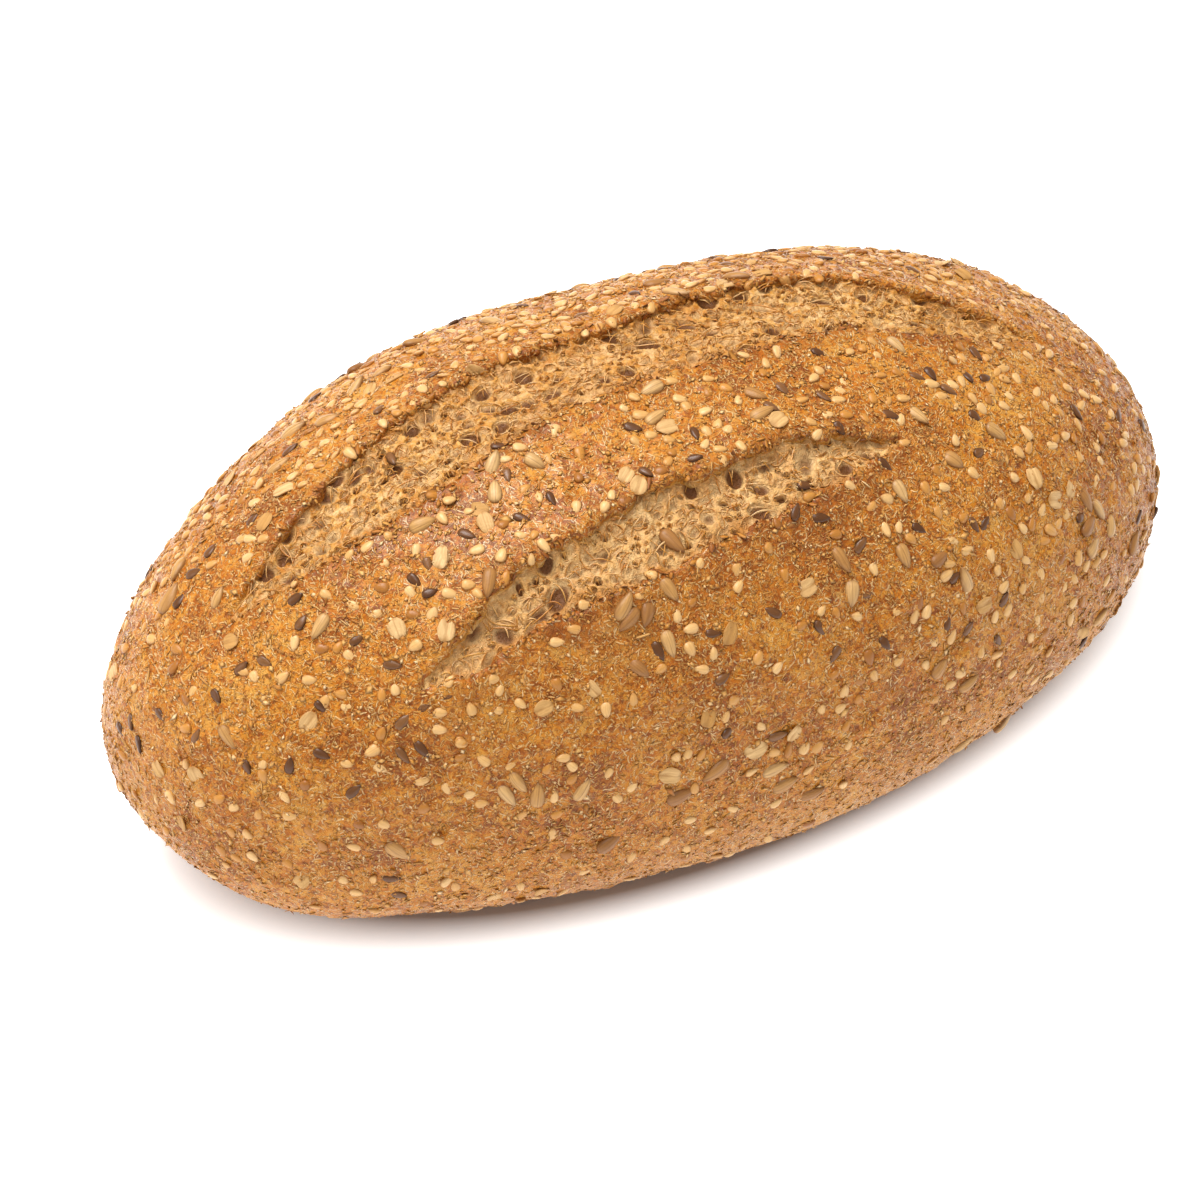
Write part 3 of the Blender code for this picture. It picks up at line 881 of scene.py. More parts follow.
def blow_bubbles(slash, draw):
    """Places bubbles of each size in a slash, the largest first, close but hardly overlapping."""
    low = min(slash.near_edge) - CRUMB_MARGIN
    high = max(slash.far_edge) + CRUMB_MARGIN
    ground = (slash.end - slash.start) * (high - low)
    spots = []
    for radius, cover in BUBBLES:
        tries = int(ground / (math.pi * radius ** 2) * cover * TRIES_A_BUBBLE)
        for _ in range(tries):
            x = draw.uniform(slash.start, slash.end)
            y = draw.uniform(low, high)
            size = radius * draw.uniform(*BUBBLE_SPREAD)
            share = share_along(slash, x)
            near, far = slash_edges(slash, share)
            across = (y - near) / (far + slash.undercut - near)
            largest = LARGEST_BUBBLE * (0.25 + end_fade(share)) * (0.3 + across)
            if not 0.03 < across < 1.0 or size > largest:
                continue
            kept = np.array(spots) if spots else np.zeros((0, 6))
            away = np.hypot(kept[:, 0] - x, kept[:, 1] - y)
            if (away < (kept[:, 2] + size) * BUBBLE_PACKING).any():
                continue
            stretch = draw.uniform(*BUBBLE_STRETCH)
            turn = draw.normal(0, BUBBLE_TURN)
            deep = draw.random() < HOLE_SHARE and size < HOLE_RADIUS and across < 0.85
            flatness = HOLE_DEPTH if deep else BUBBLE_FLATNESS * draw.uniform(0.7, 1.3)
            spots.append((x, y, size * (HOLE_SIZE if deep else 1.0), stretch, turn, flatness))
    return spots


def across_crumb(slash, x, y):
    """For places over a slash: the share along it, the Y of its edges, and the share across its
    crumb, which runs in under the far lip."""
    share = share_along(slash, x)
    near, far = slash_edges(slash, share)
    return share, near, far, (y - near) / (far + slash.undercut * end_fade(share) - near)


def crumb_climb(slash, x, across):
    """How high the crumb climbs the wall under the far lip: in places it leaves a dark gap."""
    turn = x * math.tau / WALL_SPAN
    patchy = 0.5 + 0.5 * np.sin(turn + 2 * np.sin(turn * 0.43 + 1))
    share = WALL_CLIMB[0] + (WALL_CLIMB[1] - WALL_CLIMB[0]) * patchy
    climb = risen(across, WALL_START, 1 - WALL_START) ** WALL_CURVE
    return share * climb * slash.depth * end_fade(share_along(slash, x))


def skin_facing(x, y):
    """Which way the smooth skin faces over places of the plan."""
    small = 0.0002
    slope_x = (skin_height(x + small, y) - skin_height(x - small, y)) / (2 * small)
    slope_y = (skin_height(x, y + small) - skin_height(x, y - small)) / (2 * small)
    facing = np.stack((-slope_x, -slope_y, np.ones(len(x))), axis=1)
    return facing / np.linalg.norm(facing, axis=1, keepdims=True)


def onto_slash(slash, x, y, up):
    """Takes places over a slash's plan, at heights over its crumb's floor, to where they are."""
    share, near, far, across = across_crumb(slash, x, y)
    across = np.clip(across, 0.0, 1.0)
    mouth_y = near + across * (far - near)
    drop = np.maximum(floor_drop(slash, share, across), LEAST_DROP)
    return swollen(np.stack((x, y, skin_height(x, mouth_y) - drop + up), axis=1))


def make_strands(slash, bubbles, draw):
    """Thin threads of torn crumb: arcs round the bubbles' rims and loose ends across them."""
    count = len(bubbles) * STRANDS_A_BUBBLE
    spot_x, spot_y, size, stretch, turn, _ = np.repeat(np.array(bubbles), STRANDS_A_BUBBLE, axis=0).T
    loose = draw.random(count) < LOOSE_SHARE
    first = draw.uniform(0, math.tau, count)
    sweep = np.where(loose, draw.uniform(*LOOSE_SWEEP, count), draw.uniform(*RIM_SWEEP, count))
    reach = np.where(loose, draw.uniform(*LOOSE_RADIUS, count), draw.uniform(*RIM_RADIUS, count)) * size
    step = np.linspace(0, 1, STRAND_POINTS)[None, :]
    angle = first[:, None] + sweep[:, None] * step
    # a loose thread is an arc of a wide circle that passes over the bubble's middle
    shift = np.where(loose, reach - draw.uniform(-LOOSE_OFFSET, LOOSE_OFFSET, count) * size, 0.0)
    middle_angle = first + sweep / 2
    local_x = reach[:, None] * np.cos(angle) - (shift * np.cos(middle_angle))[:, None]
    local_y = reach[:, None] * np.sin(angle) - (shift * np.sin(middle_angle))[:, None]
    stretched = local_x * stretch[:, None]
    x = spot_x[:, None] + stretched * np.cos(turn)[:, None] - local_y * np.sin(turn)[:, None]
    y = spot_y[:, None] + stretched * np.sin(turn)[:, None] + local_y * np.cos(turn)[:, None]
    share, _, _, across = across_crumb(slash, x, y)
    kept = ((across > 0.04) & (across < 0.97)).all(1) & ((share > 0.02) & (share < 0.98)).all(1)
    lift = draw.uniform(-STRAND_LIFT, STRAND_LIFT, count)
    arch = np.where(loose, draw.uniform(*LOOSE_ARCH, count), 0.0)
    up = crumb_climb(slash, x, across) + lift[:, None] + arch[:, None] * np.sin(math.pi * step)
    up += draw.normal(0, STRAND_WOBBLE, (count, STRAND_POINTS))
    thick = draw.uniform(*STRAND_THICK, count)[:, None] * np.sin(math.pi * (0.12 + 0.76 * step))
    x, y, up, thick = x[kept], y[kept], up[kept], thick[kept]
    run = np.stack((np.gradient(x, axis=1), np.gradient(y, axis=1)), axis=2)
    run /= np.linalg.norm(run, axis=2, keepdims=True)
    rings = []
    for corner in range(3):
        spoke = math.tau * corner / 3 + math.pi / 2
        side = thick * math.cos(spoke)
        ring = onto_slash(slash, (x - side * run[..., 1]).ravel(), (y + side * run[..., 0]).ravel(),
                          (up + thick * math.sin(spoke)).ravel())
        rings.append(ring.reshape(-1, STRAND_POINTS, 3))
    places = np.stack(rings, axis=2)
    thread_faces = [(ring * 3 + side, (ring + 1) * 3 + side, (ring + 1) * 3 + (side + 1) % 3,
                     ring * 3 + (side + 1) % 3) for ring in range(STRAND_POINTS - 1) for side in range(3)]
    thread_faces += [(0, 1, 2), tuple(3 * STRAND_POINTS - number for number in (1, 2, 3))]
    counts = np.tile([len(face) for face in thread_faces], len(places))
    flat = np.array([corner for face in thread_faces for corner in face])
    corners = (np.arange(len(places))[:, None] * STRAND_POINTS * 3 + flat[None, :]).ravel()
    made = mesh_of_arrays(slash.name + "_threads", places.reshape(-1, 3), corners, counts)
    add_attribute(made.data, "tone", np.repeat(draw.uniform(0, 1, len(places)), STRAND_POINTS * 3))
    made.data.shade_smooth()
    return made


def make_crumb(slash, bubbles, draw):
    """One slash's crumb, from a field of cells over its plan: below zero is crumb."""
    low = min(slash.near_edge) - CRUMB_MARGIN - 2 * CRUMB_STEP
    high = max(slash.far_edge) + slash.undercut + CRUMB_MARGIN + 2 * CRUMB_STEP
    corner = (slash.start - 2 * CRUMB_STEP, low, -CRUMB_UNDER - 2 * CRUMB_STEP)
    top = CRUMB_ROOM + 2 * CRUMB_STEP + slash.depth * WALL_CLIMB[1]
    far_corner = (slash.end + 2 * CRUMB_STEP, high, top)
    x, y, up = (np.arange(first, last, CRUMB_STEP, dtype=np.float32)
                for first, last in zip(corner, far_corner))
    share = share_along(slash, x)
    near, far = slash_edges(slash, share)
    fade = end_fade(share)
    far = far + slash.undercut * fade
    across = (y[None, :] - near[:, None]) / (far - near)[:, None]
    surface = crumb_climb(slash, x[:, None], across)
    outside = np.maximum(np.maximum(near[:, None] - y[None, :], y[None, :] - far[:, None]), 0.0)
    surface = surface - CRUMB_SINK * outside
    x3 = x[:, None, None]
    y3 = y[None, :, None]
    up3 = up[None, None, :]
    uneven = sum(height * waves(draw, span, x3, y3, up3) for height, span in UNEVEN)
    field = up3 - surface[:, :, None] + uneven
    for spot_x, spot_y, size, stretch, turn, flatness in bubbles:
        reach = size * stretch + 2 * CRUMB_STEP
        at = [np.searchsorted(line, (middle - reach, middle + reach))
              for line, middle in ((x, spot_x), (y, spot_y))]
        window = (slice(*at[0]), slice(*at[1]))
        along = x[window[0], None] - spot_x
        aside = y[None, window[1]] - spot_y
        long_way = (along * math.cos(turn) + aside * math.sin(turn)) / stretch
        short_way = aside * math.cos(turn) - along * math.sin(turn)
        deep_way = (up3 - surface[window][..., None]) / flatness
        away = np.sqrt((long_way ** 2 + short_way ** 2)[..., None] + deep_way ** 2)
        field[window] = np.maximum(field[window], size - away)
    field = field + GRAIN[0] * waves(draw, GRAIN[1], x3, y3, up3)
    field = np.maximum(field, -(up3 + CRUMB_UNDER))
    field = np.maximum(field, (outside - CRUMB_MARGIN)[:, :, None])
    field = np.maximum(field, np.maximum(slash.start - x, x - slash.end)[:, None, None])
    crumb = skin_of_field(slash.name + "_crumb", field, corner, CRUMB_STEP)
    thin_out(crumb, CRUMB_TRIANGLES[slash.name])

    points = read_points(crumb.data)
    x, y, up = points.T
    share, near, far, across = across_crumb(slash, x, y)
    below = crumb_climb(slash, x, np.clip(across, 0.0, 1.0)) - up
    add_attribute(crumb.data, "hollow", np.clip(HOLLOW_START + below / HOLLOW_DEPTH, 0.0, 1.0))
    near_rim = np.exp(-((y - near) / NEAR_TOAST) ** 2)
    far_rim = FAR_TOAST_SHARE * np.exp(-((far - y) / FAR_TOAST) ** 2)
    rim = np.maximum(near_rim, far_rim)
    add_attribute(crumb.data, "toasted", np.maximum(rim, 1 - end_fade(share)))
    write_points(crumb.data, onto_slash(slash, x, y, up))
    normals = point_normals(crumb.data)
    add_attribute(crumb.data, "outward", normals)
    level = (normals * skin_facing(x, y)).sum(1)
    add_attribute(crumb.data, "steep", np.clip((STEEP_START - level) / STEEP_REACH, 0.0, 1.0))
    crumb.data.shade_smooth()
    return crumb


CRUMB_BEIGE = (0.62, 0.395, 0.165)
CRUMB_HOLLOW_SHADE = (0.16, 0.056, 0.010)
CRUMB_STRANDS = 900.0     # scales of the crumb's patterns, in cells a metre
CRUMB_BLOTCHES = 110.0
CRUMB_SPOTS = 520.0
CRUMB_GRAIN = 1000.0
CRUMB_SCORCHES = 300.0
THREAD_BLOTCHES = 420.0
THREAD_GRAIN = 1800.0
CRUMB_BUMP = 0.00018
THREAD_BUMP = 0.00005


def make_crumb_material():
    made, tree, surface, place = new_material("crumb_torn", 0.55, 0.35)
    crinkle = place_crinkle(tree, place, CRUMB_STRANDS)
    tone = work_out(tree, "ADD", times(tree, noise_on(tree, place, CRUMB_BLOTCHES, 2.0), 0.5),
                    times(tree, noise_on(tree, place, CRUMB_SPOTS, 2.0, 0.8), 0.5))
    strand = colour_ramp(tree, tone, ((0.40, CRUMB_ORANGE), (0.50, CRUMB_GOLD), (0.62, CRUMB_CREAM)))
    floor = colour_ramp(tree, tone, ((0.38, CRUMB_BEIGE), (0.60, CRUMB_CREAM)))
    hollow = attribute_of(tree, "hollow")
    colour = blend_colours(tree, spread_range(tree, hollow, 0.27, 0.50), strand, floor)
    colour = blend_colours(tree, times(tree, attribute_of(tree, "steep"), 0.40), colour, strand)
    colour = blend_colours(tree, times(tree, crinkle["Strands"], 0.50), colour, CRUMB_CREAM)
    dark_grain = spread_range(tree, noise_on(tree, place, CRUMB_GRAIN, 2.0, 0.6), 0.46, 0.36, 0.0, 0.55)
    colour = blend_colours(tree, dark_grain, colour, CRUMB_ORANGE)

    # the long slash is browned in its middle, and the short one is paler all along, partly by its own
    # crumb's tone and partly as painted light that lifts the shade in its steeper slash
    where = parts_of(tree, "ShaderNodeSeparateXYZ", place)
    from_middle = work_out(tree, "ABSOLUTE", work_out(tree, "ADD", where["X"], 0.004))
    short = spread_range(tree, where["Y"], -0.018, -0.026)
    browned = times(tree, spread_range(tree, from_middle, 0.052, 0.020, 0.0, 0.24),
                    work_out(tree, "SUBTRACT", 1.0, short))
    colour = blend_colours(tree, browned, colour, CRUMB_ORANGE)
    colour = blend_colours(tree, times(tree, short, 0.40), colour, CRUMB_CREAM)
    toast = times(tree, attribute_of(tree, "toasted"),
                  spread_range(tree, noise_on(tree, place, CRUMB_SCORCHES, 2.0), 0.36, 0.60))
    colour = blend_colours(tree, times(tree, toast, 0.8), colour, CRUMB_ORANGE)
    # painted shade: the deepest hollows and the pits are darkened
    hollow_and_pit_shade = work_out(tree, "MAXIMUM", spread_range(tree, hollow, 0.60, 0.80),
                    times(tree, crinkle["Pit Shade"], 0.65))
    colour = blend_colours(tree, hollow_and_pit_shade, colour, CRUMB_HOLLOW_SHADE)
    tree.links.new(colour, surface.inputs["Base Color"])
    bump_of(tree, surface, crinkle["Height"], CRUMB_BUMP)
    return made


def make_thread_material():
    made, tree, surface, place = new_material("crumb_threads", 0.38, 0.50)
    colour = colour_ramp(tree, attribute_of(tree, "tone"), (
        (0.0, CRUMB_ORANGE), (0.5, CRUMB_GOLD), (1.0, CRUMB_CREAM)))
    patches = spread_range(tree, noise_on(tree, place, THREAD_BLOTCHES, 2.0), 0.45, 0.70, 0.0, 0.5)
    tree.links.new(blend_colours(tree, patches, colour, CRUMB_ORANGE), surface.inputs["Base Color"])
    bump_of(tree, surface, noise_on(tree, place, THREAD_GRAIN, 2.0), THREAD_BUMP)
    return made


crumb_material = make_crumb_material()
thread_material = make_thread_material()
crumb_beds = []           # the crumb's skins, kept to lay the few seeds that fell in the slashes
draw = np.random.default_rng(CRUMB_SEED)
for slash in SLASHES:
    bubbles = blow_bubbles(slash, draw)
    crumb = make_crumb(slash, bubbles, draw)
    threads = make_strands(slash, bubbles, draw)
    for piece, material in ((crumb, crumb_material), (threads, thread_material)):
        piece.data.materials.append(material)
        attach(piece, "root")
    crumb_beds.append(ray_tree(crumb))


# ---- Seeds on the crust ----
# Whole seeds that the dough was rolled in before it was baked: sunflower kernels, linseed, sesame
# and rolled oats. They stuck to the wet skin, each sunk in by a third or so, lying any way round.

# A kind of seed: its piece and slot, its size, how far its middle lies over the skin as a share of
# its thickness, how much room it keeps round it, and how much its sizes differ
Kind = namedtuple("Kind", "name slot length width thickness raised room spread")
SUNFLOWER = Kind("sunflower_kernels", "sunflower", 0.0064, 0.0032, 0.0022, 0.14, 0.0030, 0.12)
OAT = Kind("oat_flakes", "oat", 0.0052, 0.0038, 0.0010, 0.40, 0.0030, 0.15)
LINSEED = Kind("linseeds", "linseed", 0.0042, 0.0021, 0.0012, 0.24, 0.0018, 0.10)
SESAME = Kind("sesame_seeds", "sesame", 0.0034, 0.0024, 0.0012, 0.20, 0.0014, 0.12)
HIDDEN_SUNFLOWERS = 42    # how many lie where the camera doesn't see them
HIDDEN_OATS = 34
HIDDEN_LINSEEDS = 85
MORE_SESAME = 1250        # how many more lie all round, most of them behind the long slash
MORE_OATS = 60
CRUMB_STAND = 0.0004      # how high a seed that fell into a slash lies on the crumb
SEED_TILT = 0.14
SEED_BEND = 0.02
STEEPEST_VIEW = 0.15      # a seed seen on a face turned away further than this is laid as if on this
UNSEEN_FACING = 0.12      # what faces the camera less than this counts as unseen
LOWEST_SEED = 0.0025
TORN_CLEAR = 0.0006       # seeds lie no deeper than this under the skin beside a slash
# How thickly the crust is seeded, and where more lie: a start and a reach along an axis
LEAST_COVER = 0.16
BEHIND_COVER = 0.84
BEHIND = (0.005, 0.018)
BEHIND_LEVEL = (0.045, 0.030)
FAR_END_COVER = 0.42
FAR_END = (0.045, 0.050)
BAND_COVER = 0.55
BAND_MIDDLE = -0.022
BAND_WIDTH = 0.013
BAND_LEVEL = (0.075, 0.015)
MOSTLY_BEHIND = (0.010, 0.012)
OATS_ELSEWHERE = 0.10     # the share of the drawn seeds' density that is kept before the long slash
SESAME_ELSEWHERE = 0.25
TRIES_A_SEED = 6
SEED_SHIFT = 0.0002       # how far a drawn seed lies from its face's middle
SEED_RANDOM = 17

# Seeds that stand out: the pixel of each one's middle, and how it is turned in the picture, in
# degrees from the right
SUNFLOWERS_SEEN = (
    (279, 467, 35), (294, 433, 30), (328, 421, 22), (356, 389, 40), (359, 370, 35), (417, 344, 25),
    (381, 374, 215),
    (179, 570, 252), (171, 599, 64), (219, 598, 63), (229, 737, 300), (320, 627, 240), (398, 850, 323),
    (423, 525, 25), (493, 323, 355), (535, 463, 333), (493, 464, 75), (495, 492, 90), (489, 583, 261),
    (518, 782, 312), (537, 794, 84), (507, 795, 311), (582, 788, 53), (657, 285, 10), (651, 390, 206),
    (656, 418, 35), (624, 606, 66), (647, 614, 254), (629, 620, 227), (639, 669, 322), (609, 841, 30),
    (676, 294, 350), (672, 542, 315), (669, 590, 306), (669, 644, 289), (715, 770, 213), (680, 795, 22),
    (736, 278, 355), (755, 395, 335), (762, 414, 23), (774, 768, 26), (784, 783, 30), (811, 792, 27),
    (896, 347, 319), (841, 560, 300), (851, 594, 270), (917, 416, 315), (953, 461, 322),
    (900, 492, 297), (903, 556, 293), (939, 558, 37), (939, 667, 51), (995, 433, 330), (965, 580, 117),
    (968, 682, 40), (962, 742, 40), (1085, 501, 297), (1097, 510, 300), (1087, 525, 56),
    (1109, 525, 85), (1132, 542, 68), (1092, 546, 62), (1098, 617, 61))
OATS_SEEN = (
    (286, 491, 25), (266, 523, 60), (371, 392, 50), (394, 381, 25),
    (160, 768, 300), (232, 642, 10), (198, 775, 280), (309, 721, 53), (398, 629, 290), (479, 511, 345),
    (442, 556, 80), (441, 560, 68), (446, 630, 80), (486, 524, 290), (592, 688, 314), (544, 707, 25),
    (626, 476, 59), (638, 486, 70), (668, 428, 20), (707, 717, 72), (670, 774, 0), (778, 421, 40),
    (729, 633, 69), (755, 748, 24), (807, 587, 30), (793, 732, 61), (1014, 549, 295), (983, 604, 25),
    (1069, 489, 80), (1054, 500, 0))
LINSEEDS_SEEN = (
    (291, 451, 35), (254, 520, 50), (157, 566, 60), (316, 399, 40), (380, 411, 50),
    (135, 597, 60), (162, 715, 300), (132, 722, 285), (122, 729, 290), (140, 744, 285), (212, 551, 60),
    (195, 574, 25), (181, 601, 60), (217, 696, 305), (197, 736, 60), (296, 599, 35), (265, 662, 335),
    (242, 668, 40), (290, 765, 80), (247, 766, 300), (302, 622, 60), (357, 640, 30), (321, 707, 305),
    (322, 754, 335), (354, 790, 40), (392, 460, 300), (415, 581, 315), (393, 665, 355), (403, 721, 45),
    (403, 755, 310), (392, 877, 0), (399, 893, 350), (434, 376, 25), (467, 535, 340), (428, 565, 288),
    (430, 593, 20), (422, 749, 310), (521, 308, 5), (499, 447, 5), (507, 476, 285), (522, 519, 345),
    (582, 317, 15), (552, 500, 300), (635, 295, 345), (633, 429, 348), (646, 473, 330), (658, 651, 300),
    (666, 271, 5), (695, 435, 290), (694, 459, 5), (713, 633, 0), (728, 266, 355), (771, 408, 330),
    (772, 612, 156), (722, 678, 35), (727, 731, 39), (777, 735, 20), (825, 260, 355), (818, 354, 340),
    (782, 390, 318), (823, 398, 325), (839, 429, 308), (805, 486, 0), (795, 512, 75), (820, 518, 0),
    (819, 628, 306), (834, 654, 243), (889, 416, 345), (884, 465, 320), (860, 545, 60), (867, 594, 10),
    (884, 643, 308), (913, 272, 340), (930, 375, 310), (917, 378, 340), (948, 391, 330),
    (918, 529, 333), (954, 577, 45), (946, 624, 75), (975, 355, 310), (967, 378, 300), (985, 379, 15),
    (974, 417, 330), (979, 453, 20), (984, 523, 68), (973, 525, 302), (1003, 599, 72), (967, 628, 61),
    (997, 640, 310), (1045, 301, 320), (1058, 317, 320), (1075, 413, 305), (1079, 517, 45),
    (1117, 416, 80), (1137, 517, 80), (1081, 642, 61), (1141, 428, 300))
SESAME_SEEN = (
    (263, 443, 40), (274, 445, 35), (248, 449, 55), (257, 472, 60), (268, 490, 45), (256, 503, 40),
    (244, 500, 50), (189, 522, 45), (193, 512, 50), (179, 539, 60), (265, 539, 20), (252, 540, 0),
    (225, 500, 30), (216, 485, 40), (209, 534, 0), (310, 432, 25), (321, 434, 60), (337, 427, 50),
    (352, 430, 60), (326, 444, 20), (314, 454, 45), (335, 457, 30), (312, 468, 20), (294, 477, 45),
    (304, 485, 15), (321, 466, 0), (294, 418, 30), (350, 408, 40), (332, 406, 45), (394, 355, 30),
    (436, 342, 20), (366, 372, 40), (414, 353, 10), (407, 360, 20), (596, 288, 15), (460, 339, 20),
    (438, 342, 15), (499, 336, 30), (491, 344, 0), (533, 345, 20),
    (109, 671, 70), (107, 709, 80), (168, 557, 50), (162, 571, 20), (166, 582, 55), (122, 682, 75),
    (136, 688, 45), (172, 797, 300), (190, 552, 51), (213, 565, 30), (187, 764, 80), (220, 798, 20),
    (232, 832, 285), (222, 850, 300), (237, 857, 325), (227, 864, 0), (249, 558, 25), (244, 671, 330),
    (255, 677, 300), (285, 796, 315), (291, 815, 0), (288, 862, 320), (268, 877, 330), (350, 555, 55),
    (327, 595, 335), (310, 680, 0), (325, 701, 60), (347, 763, 340), (359, 824, 330), (310, 830, 300),
    (345, 879, 335), (389, 536, 20), (368, 547, 40), (411, 593, 305), (414, 615, 0), (395, 689, 105),
    (382, 694, 85), (385, 824, 330), (473, 321, 10), (453, 333, 5), (432, 335, 10), (469, 512, 0),
    (469, 585, 0), (450, 594, 350), (478, 594, 320), (433, 614, 65), (441, 712, 0), (439, 729, 0),
    (461, 741, 330), (462, 743, 340), (461, 757, 30), (422, 780, 10), (447, 788, 300), (470, 794, 10),
    (438, 840, 0), (447, 880, 20), (512, 314, 5), (524, 321, 15), (520, 448, 0), (505, 460, 0),
    (524, 490, 35), (539, 498, 290), (504, 524, 40), (521, 536, 0), (505, 578, 70), (495, 678, 15),
    (500, 689, 60), (497, 710, 175), (511, 765, 20), (592, 299, 20), (560, 301, 25), (564, 320, 0),
    (546, 323, 10), (570, 331, 0), (545, 333, 0), (548, 460, 300), (555, 487, 330), (584, 605, 0),
    (574, 629, 170), (557, 642, 0), (557, 685, 300), (577, 707, 345), (547, 768, 60), (572, 778, 55),
    (554, 796, 80), (557, 813, 30), (640, 277, 20), (612, 291, 10), (606, 301, 0), (624, 305, 0),
    (651, 308, 80), (612, 324, 310), (625, 410, 340), (641, 416, 0), (651, 436, 5), (636, 443, 330),
    (639, 593, 80), (633, 699, 92), (632, 786, 40), (690, 271, 0), (714, 273, 10), (684, 282, 0),
    (699, 284, 0), (672, 382, 0), (680, 400, 355), (705, 412, 10), (707, 433, 310), (669, 441, 355),
    (705, 445, 60), (661, 472, 20), (692, 602, 40), (677, 616, 95), (690, 649, 298), (713, 653, 90),
    (701, 669, 175), (660, 669, 217), (679, 707, 20), (688, 752, 65), (701, 754, 70), (694, 787, 80),
    (729, 257, 5), (741, 258, 0), (726, 389, 345), (738, 401, 90), (728, 430, 60), (741, 447, 315),
    (720, 450, 0), (736, 570, 270), (738, 586, 60), (758, 657, 60), (777, 667, 50), (734, 700, 10),
    (725, 716, 60), (761, 726, 340), (774, 752, 0), (751, 771, 20), (825, 387, 10), (838, 401, 0),
    (802, 401, 10), (827, 416, 10), (809, 497, 25), (821, 610, 60), (835, 613, 300), (821, 709, 300),
    (817, 746, 50), (804, 747, 60), (788, 749, 80), (808, 769, 35), (882, 267, 350), (872, 343, 330),
    (862, 349, 80), (878, 357, 340), (879, 376, 350), (840, 392, 340), (846, 416, 350), (864, 419, 300),
    (850, 486, 330), (886, 499, 170), (871, 507, 60), (898, 527, 80), (885, 530, 300), (873, 569, 290),
    (898, 610, 25), (898, 660, 40), (840, 707, 35), (846, 724, 60), (848, 743, 70), (931, 268, 355),
    (937, 353, 10), (953, 362, 0), (931, 385, 350), (952, 386, 330), (941, 397, 0), (903, 399, 0),
    (900, 420, 80), (904, 443, 0), (936, 472, 310), (944, 488, 355), (925, 489, 300), (911, 539, 330),
    (949, 564, 0), (946, 575, 40), (918, 602, 290), (926, 611, 70), (951, 636, 60), (934, 643, 300),
    (925, 665, 300), (950, 684, 20), (988, 286, 320), (1008, 288, 335), (963, 291, 330),
    (1019, 304, 330), (1016, 312, 320), (960, 349, 340), (961, 359, 320), (986, 360, 300),
    (1003, 369, 10), (996, 373, 40), (1016, 380, 300), (1004, 380, 340), (961, 383, 290),
    (990, 391, 300), (1008, 397, 320), (1004, 407, 340), (981, 410, 310), (1018, 453, 310),
    (973, 474, 320), (1014, 478, 350), (999, 504, 300), (1010, 514, 300), (990, 556, 280),
    (997, 571, 300), (1003, 586, 55), (962, 608, 280), (1007, 609, 70), (994, 616, 70), (980, 651, 70),
    (960, 673, 0), (1011, 673, 50), (1044, 328, 320), (1073, 342, 320), (1058, 374, 325),
    (1067, 389, 340), (1036, 393, 80), (1045, 407, 300), (1059, 413, 305), (1077, 426, 290),
    (1073, 438, 80), (1055, 439, 45), (1051, 446, 0), (1028, 448, 70), (1027, 498, 65), (1041, 510, 75),
    (1031, 524, 80), (1057, 524, 70), (1044, 541, 0), (1077, 557, 80), (1060, 558, 65),
    (1040, 574, 290), (1073, 579, 315), (1022, 587, 60), (1036, 620, 285), (1080, 406, 60),
    (1133, 414, 315), (1110, 414, 80), (1099, 462, 310), (1130, 491, 290), (1095, 562, 50),
    (1105, 580, 65), (1110, 595, 60))


def shapes_of(mould, sides, rings, turns):
    """Small ball shapes pressed by a mould: a function that takes a point of the unit ball, along
    its length, across and up, and a number that makes each shape a little different."""
    shapes = []
    for turn in turns:
        form = bmesh.new()
        bmesh.ops.create_uvsphere(form, u_segments=sides, v_segments=rings, radius=1.0)
        for vert in form.verts:
            vert.co = mould(vert.co.z, vert.co.x, vert.co.y, turn)
        bmesh.ops.recalc_face_normals(form, faces=form.faces)
        shape = mesh_of("shape", form)
        shapes.append((read_points(shape), [tuple(face.vertices) for face in shape.polygons]))
        bpy.data.meshes.remove(shape)
    return shapes


def lay_copies(name, shapes, places, ways, facings, sizes, tones, bends):
    """Joins copies of small shapes into one piece, each lying along its way and facing its own way
    up. Every point keeps where it is on its own seed, and its seed's tone, for the material."""
    facings = facings / np.linalg.norm(facings, axis=1, keepdims=True)
    ways = ways - (ways * facings).sum(1, keepdims=True) * facings
    ways = ways / np.linalg.norm(ways, axis=1, keepdims=True)
    sides = np.cross(facings, ways)
    parts = []
    start = 0
    for pick, (own, corners) in enumerate(shapes):
        mine = np.arange(pick, len(places), len(shapes))
        scaled = own[None, :, :] * sizes[mine][:, None, :] / 2
        scaled[..., 2] += bends[mine][:, None] * sizes[mine][:, None, 0] * own[None, :, 0] ** 2
        world = (places[mine][:, None, :] + scaled[..., :1] * ways[mine][:, None, :]
                 + scaled[..., 1:2] * sides[mine][:, None, :] + scaled[..., 2:] * facings[mine][:, None, :])
        counts = np.array([len(face) for face in corners])
        flat = np.array([corner for face in corners for corner in face])
        firsts = start + np.arange(len(mine)) * len(own)
        parts.append((world.reshape(-1, 3), (firsts[:, None] + flat[None, :]).ravel(),
                      np.tile(counts, len(mine)), np.repeat(tones[mine], len(own)),
                      np.tile(own, (len(mine), 1))))
        start += len(mine) * len(own)
    points, corners, counts, tone, own = (np.concatenate(part) for part in zip(*parts))
    made = mesh_of_arrays(name, points, corners, counts)
    add_attribute(made.data, "tone", tone)
    add_attribute(made.data, "own_place", own)
    return made


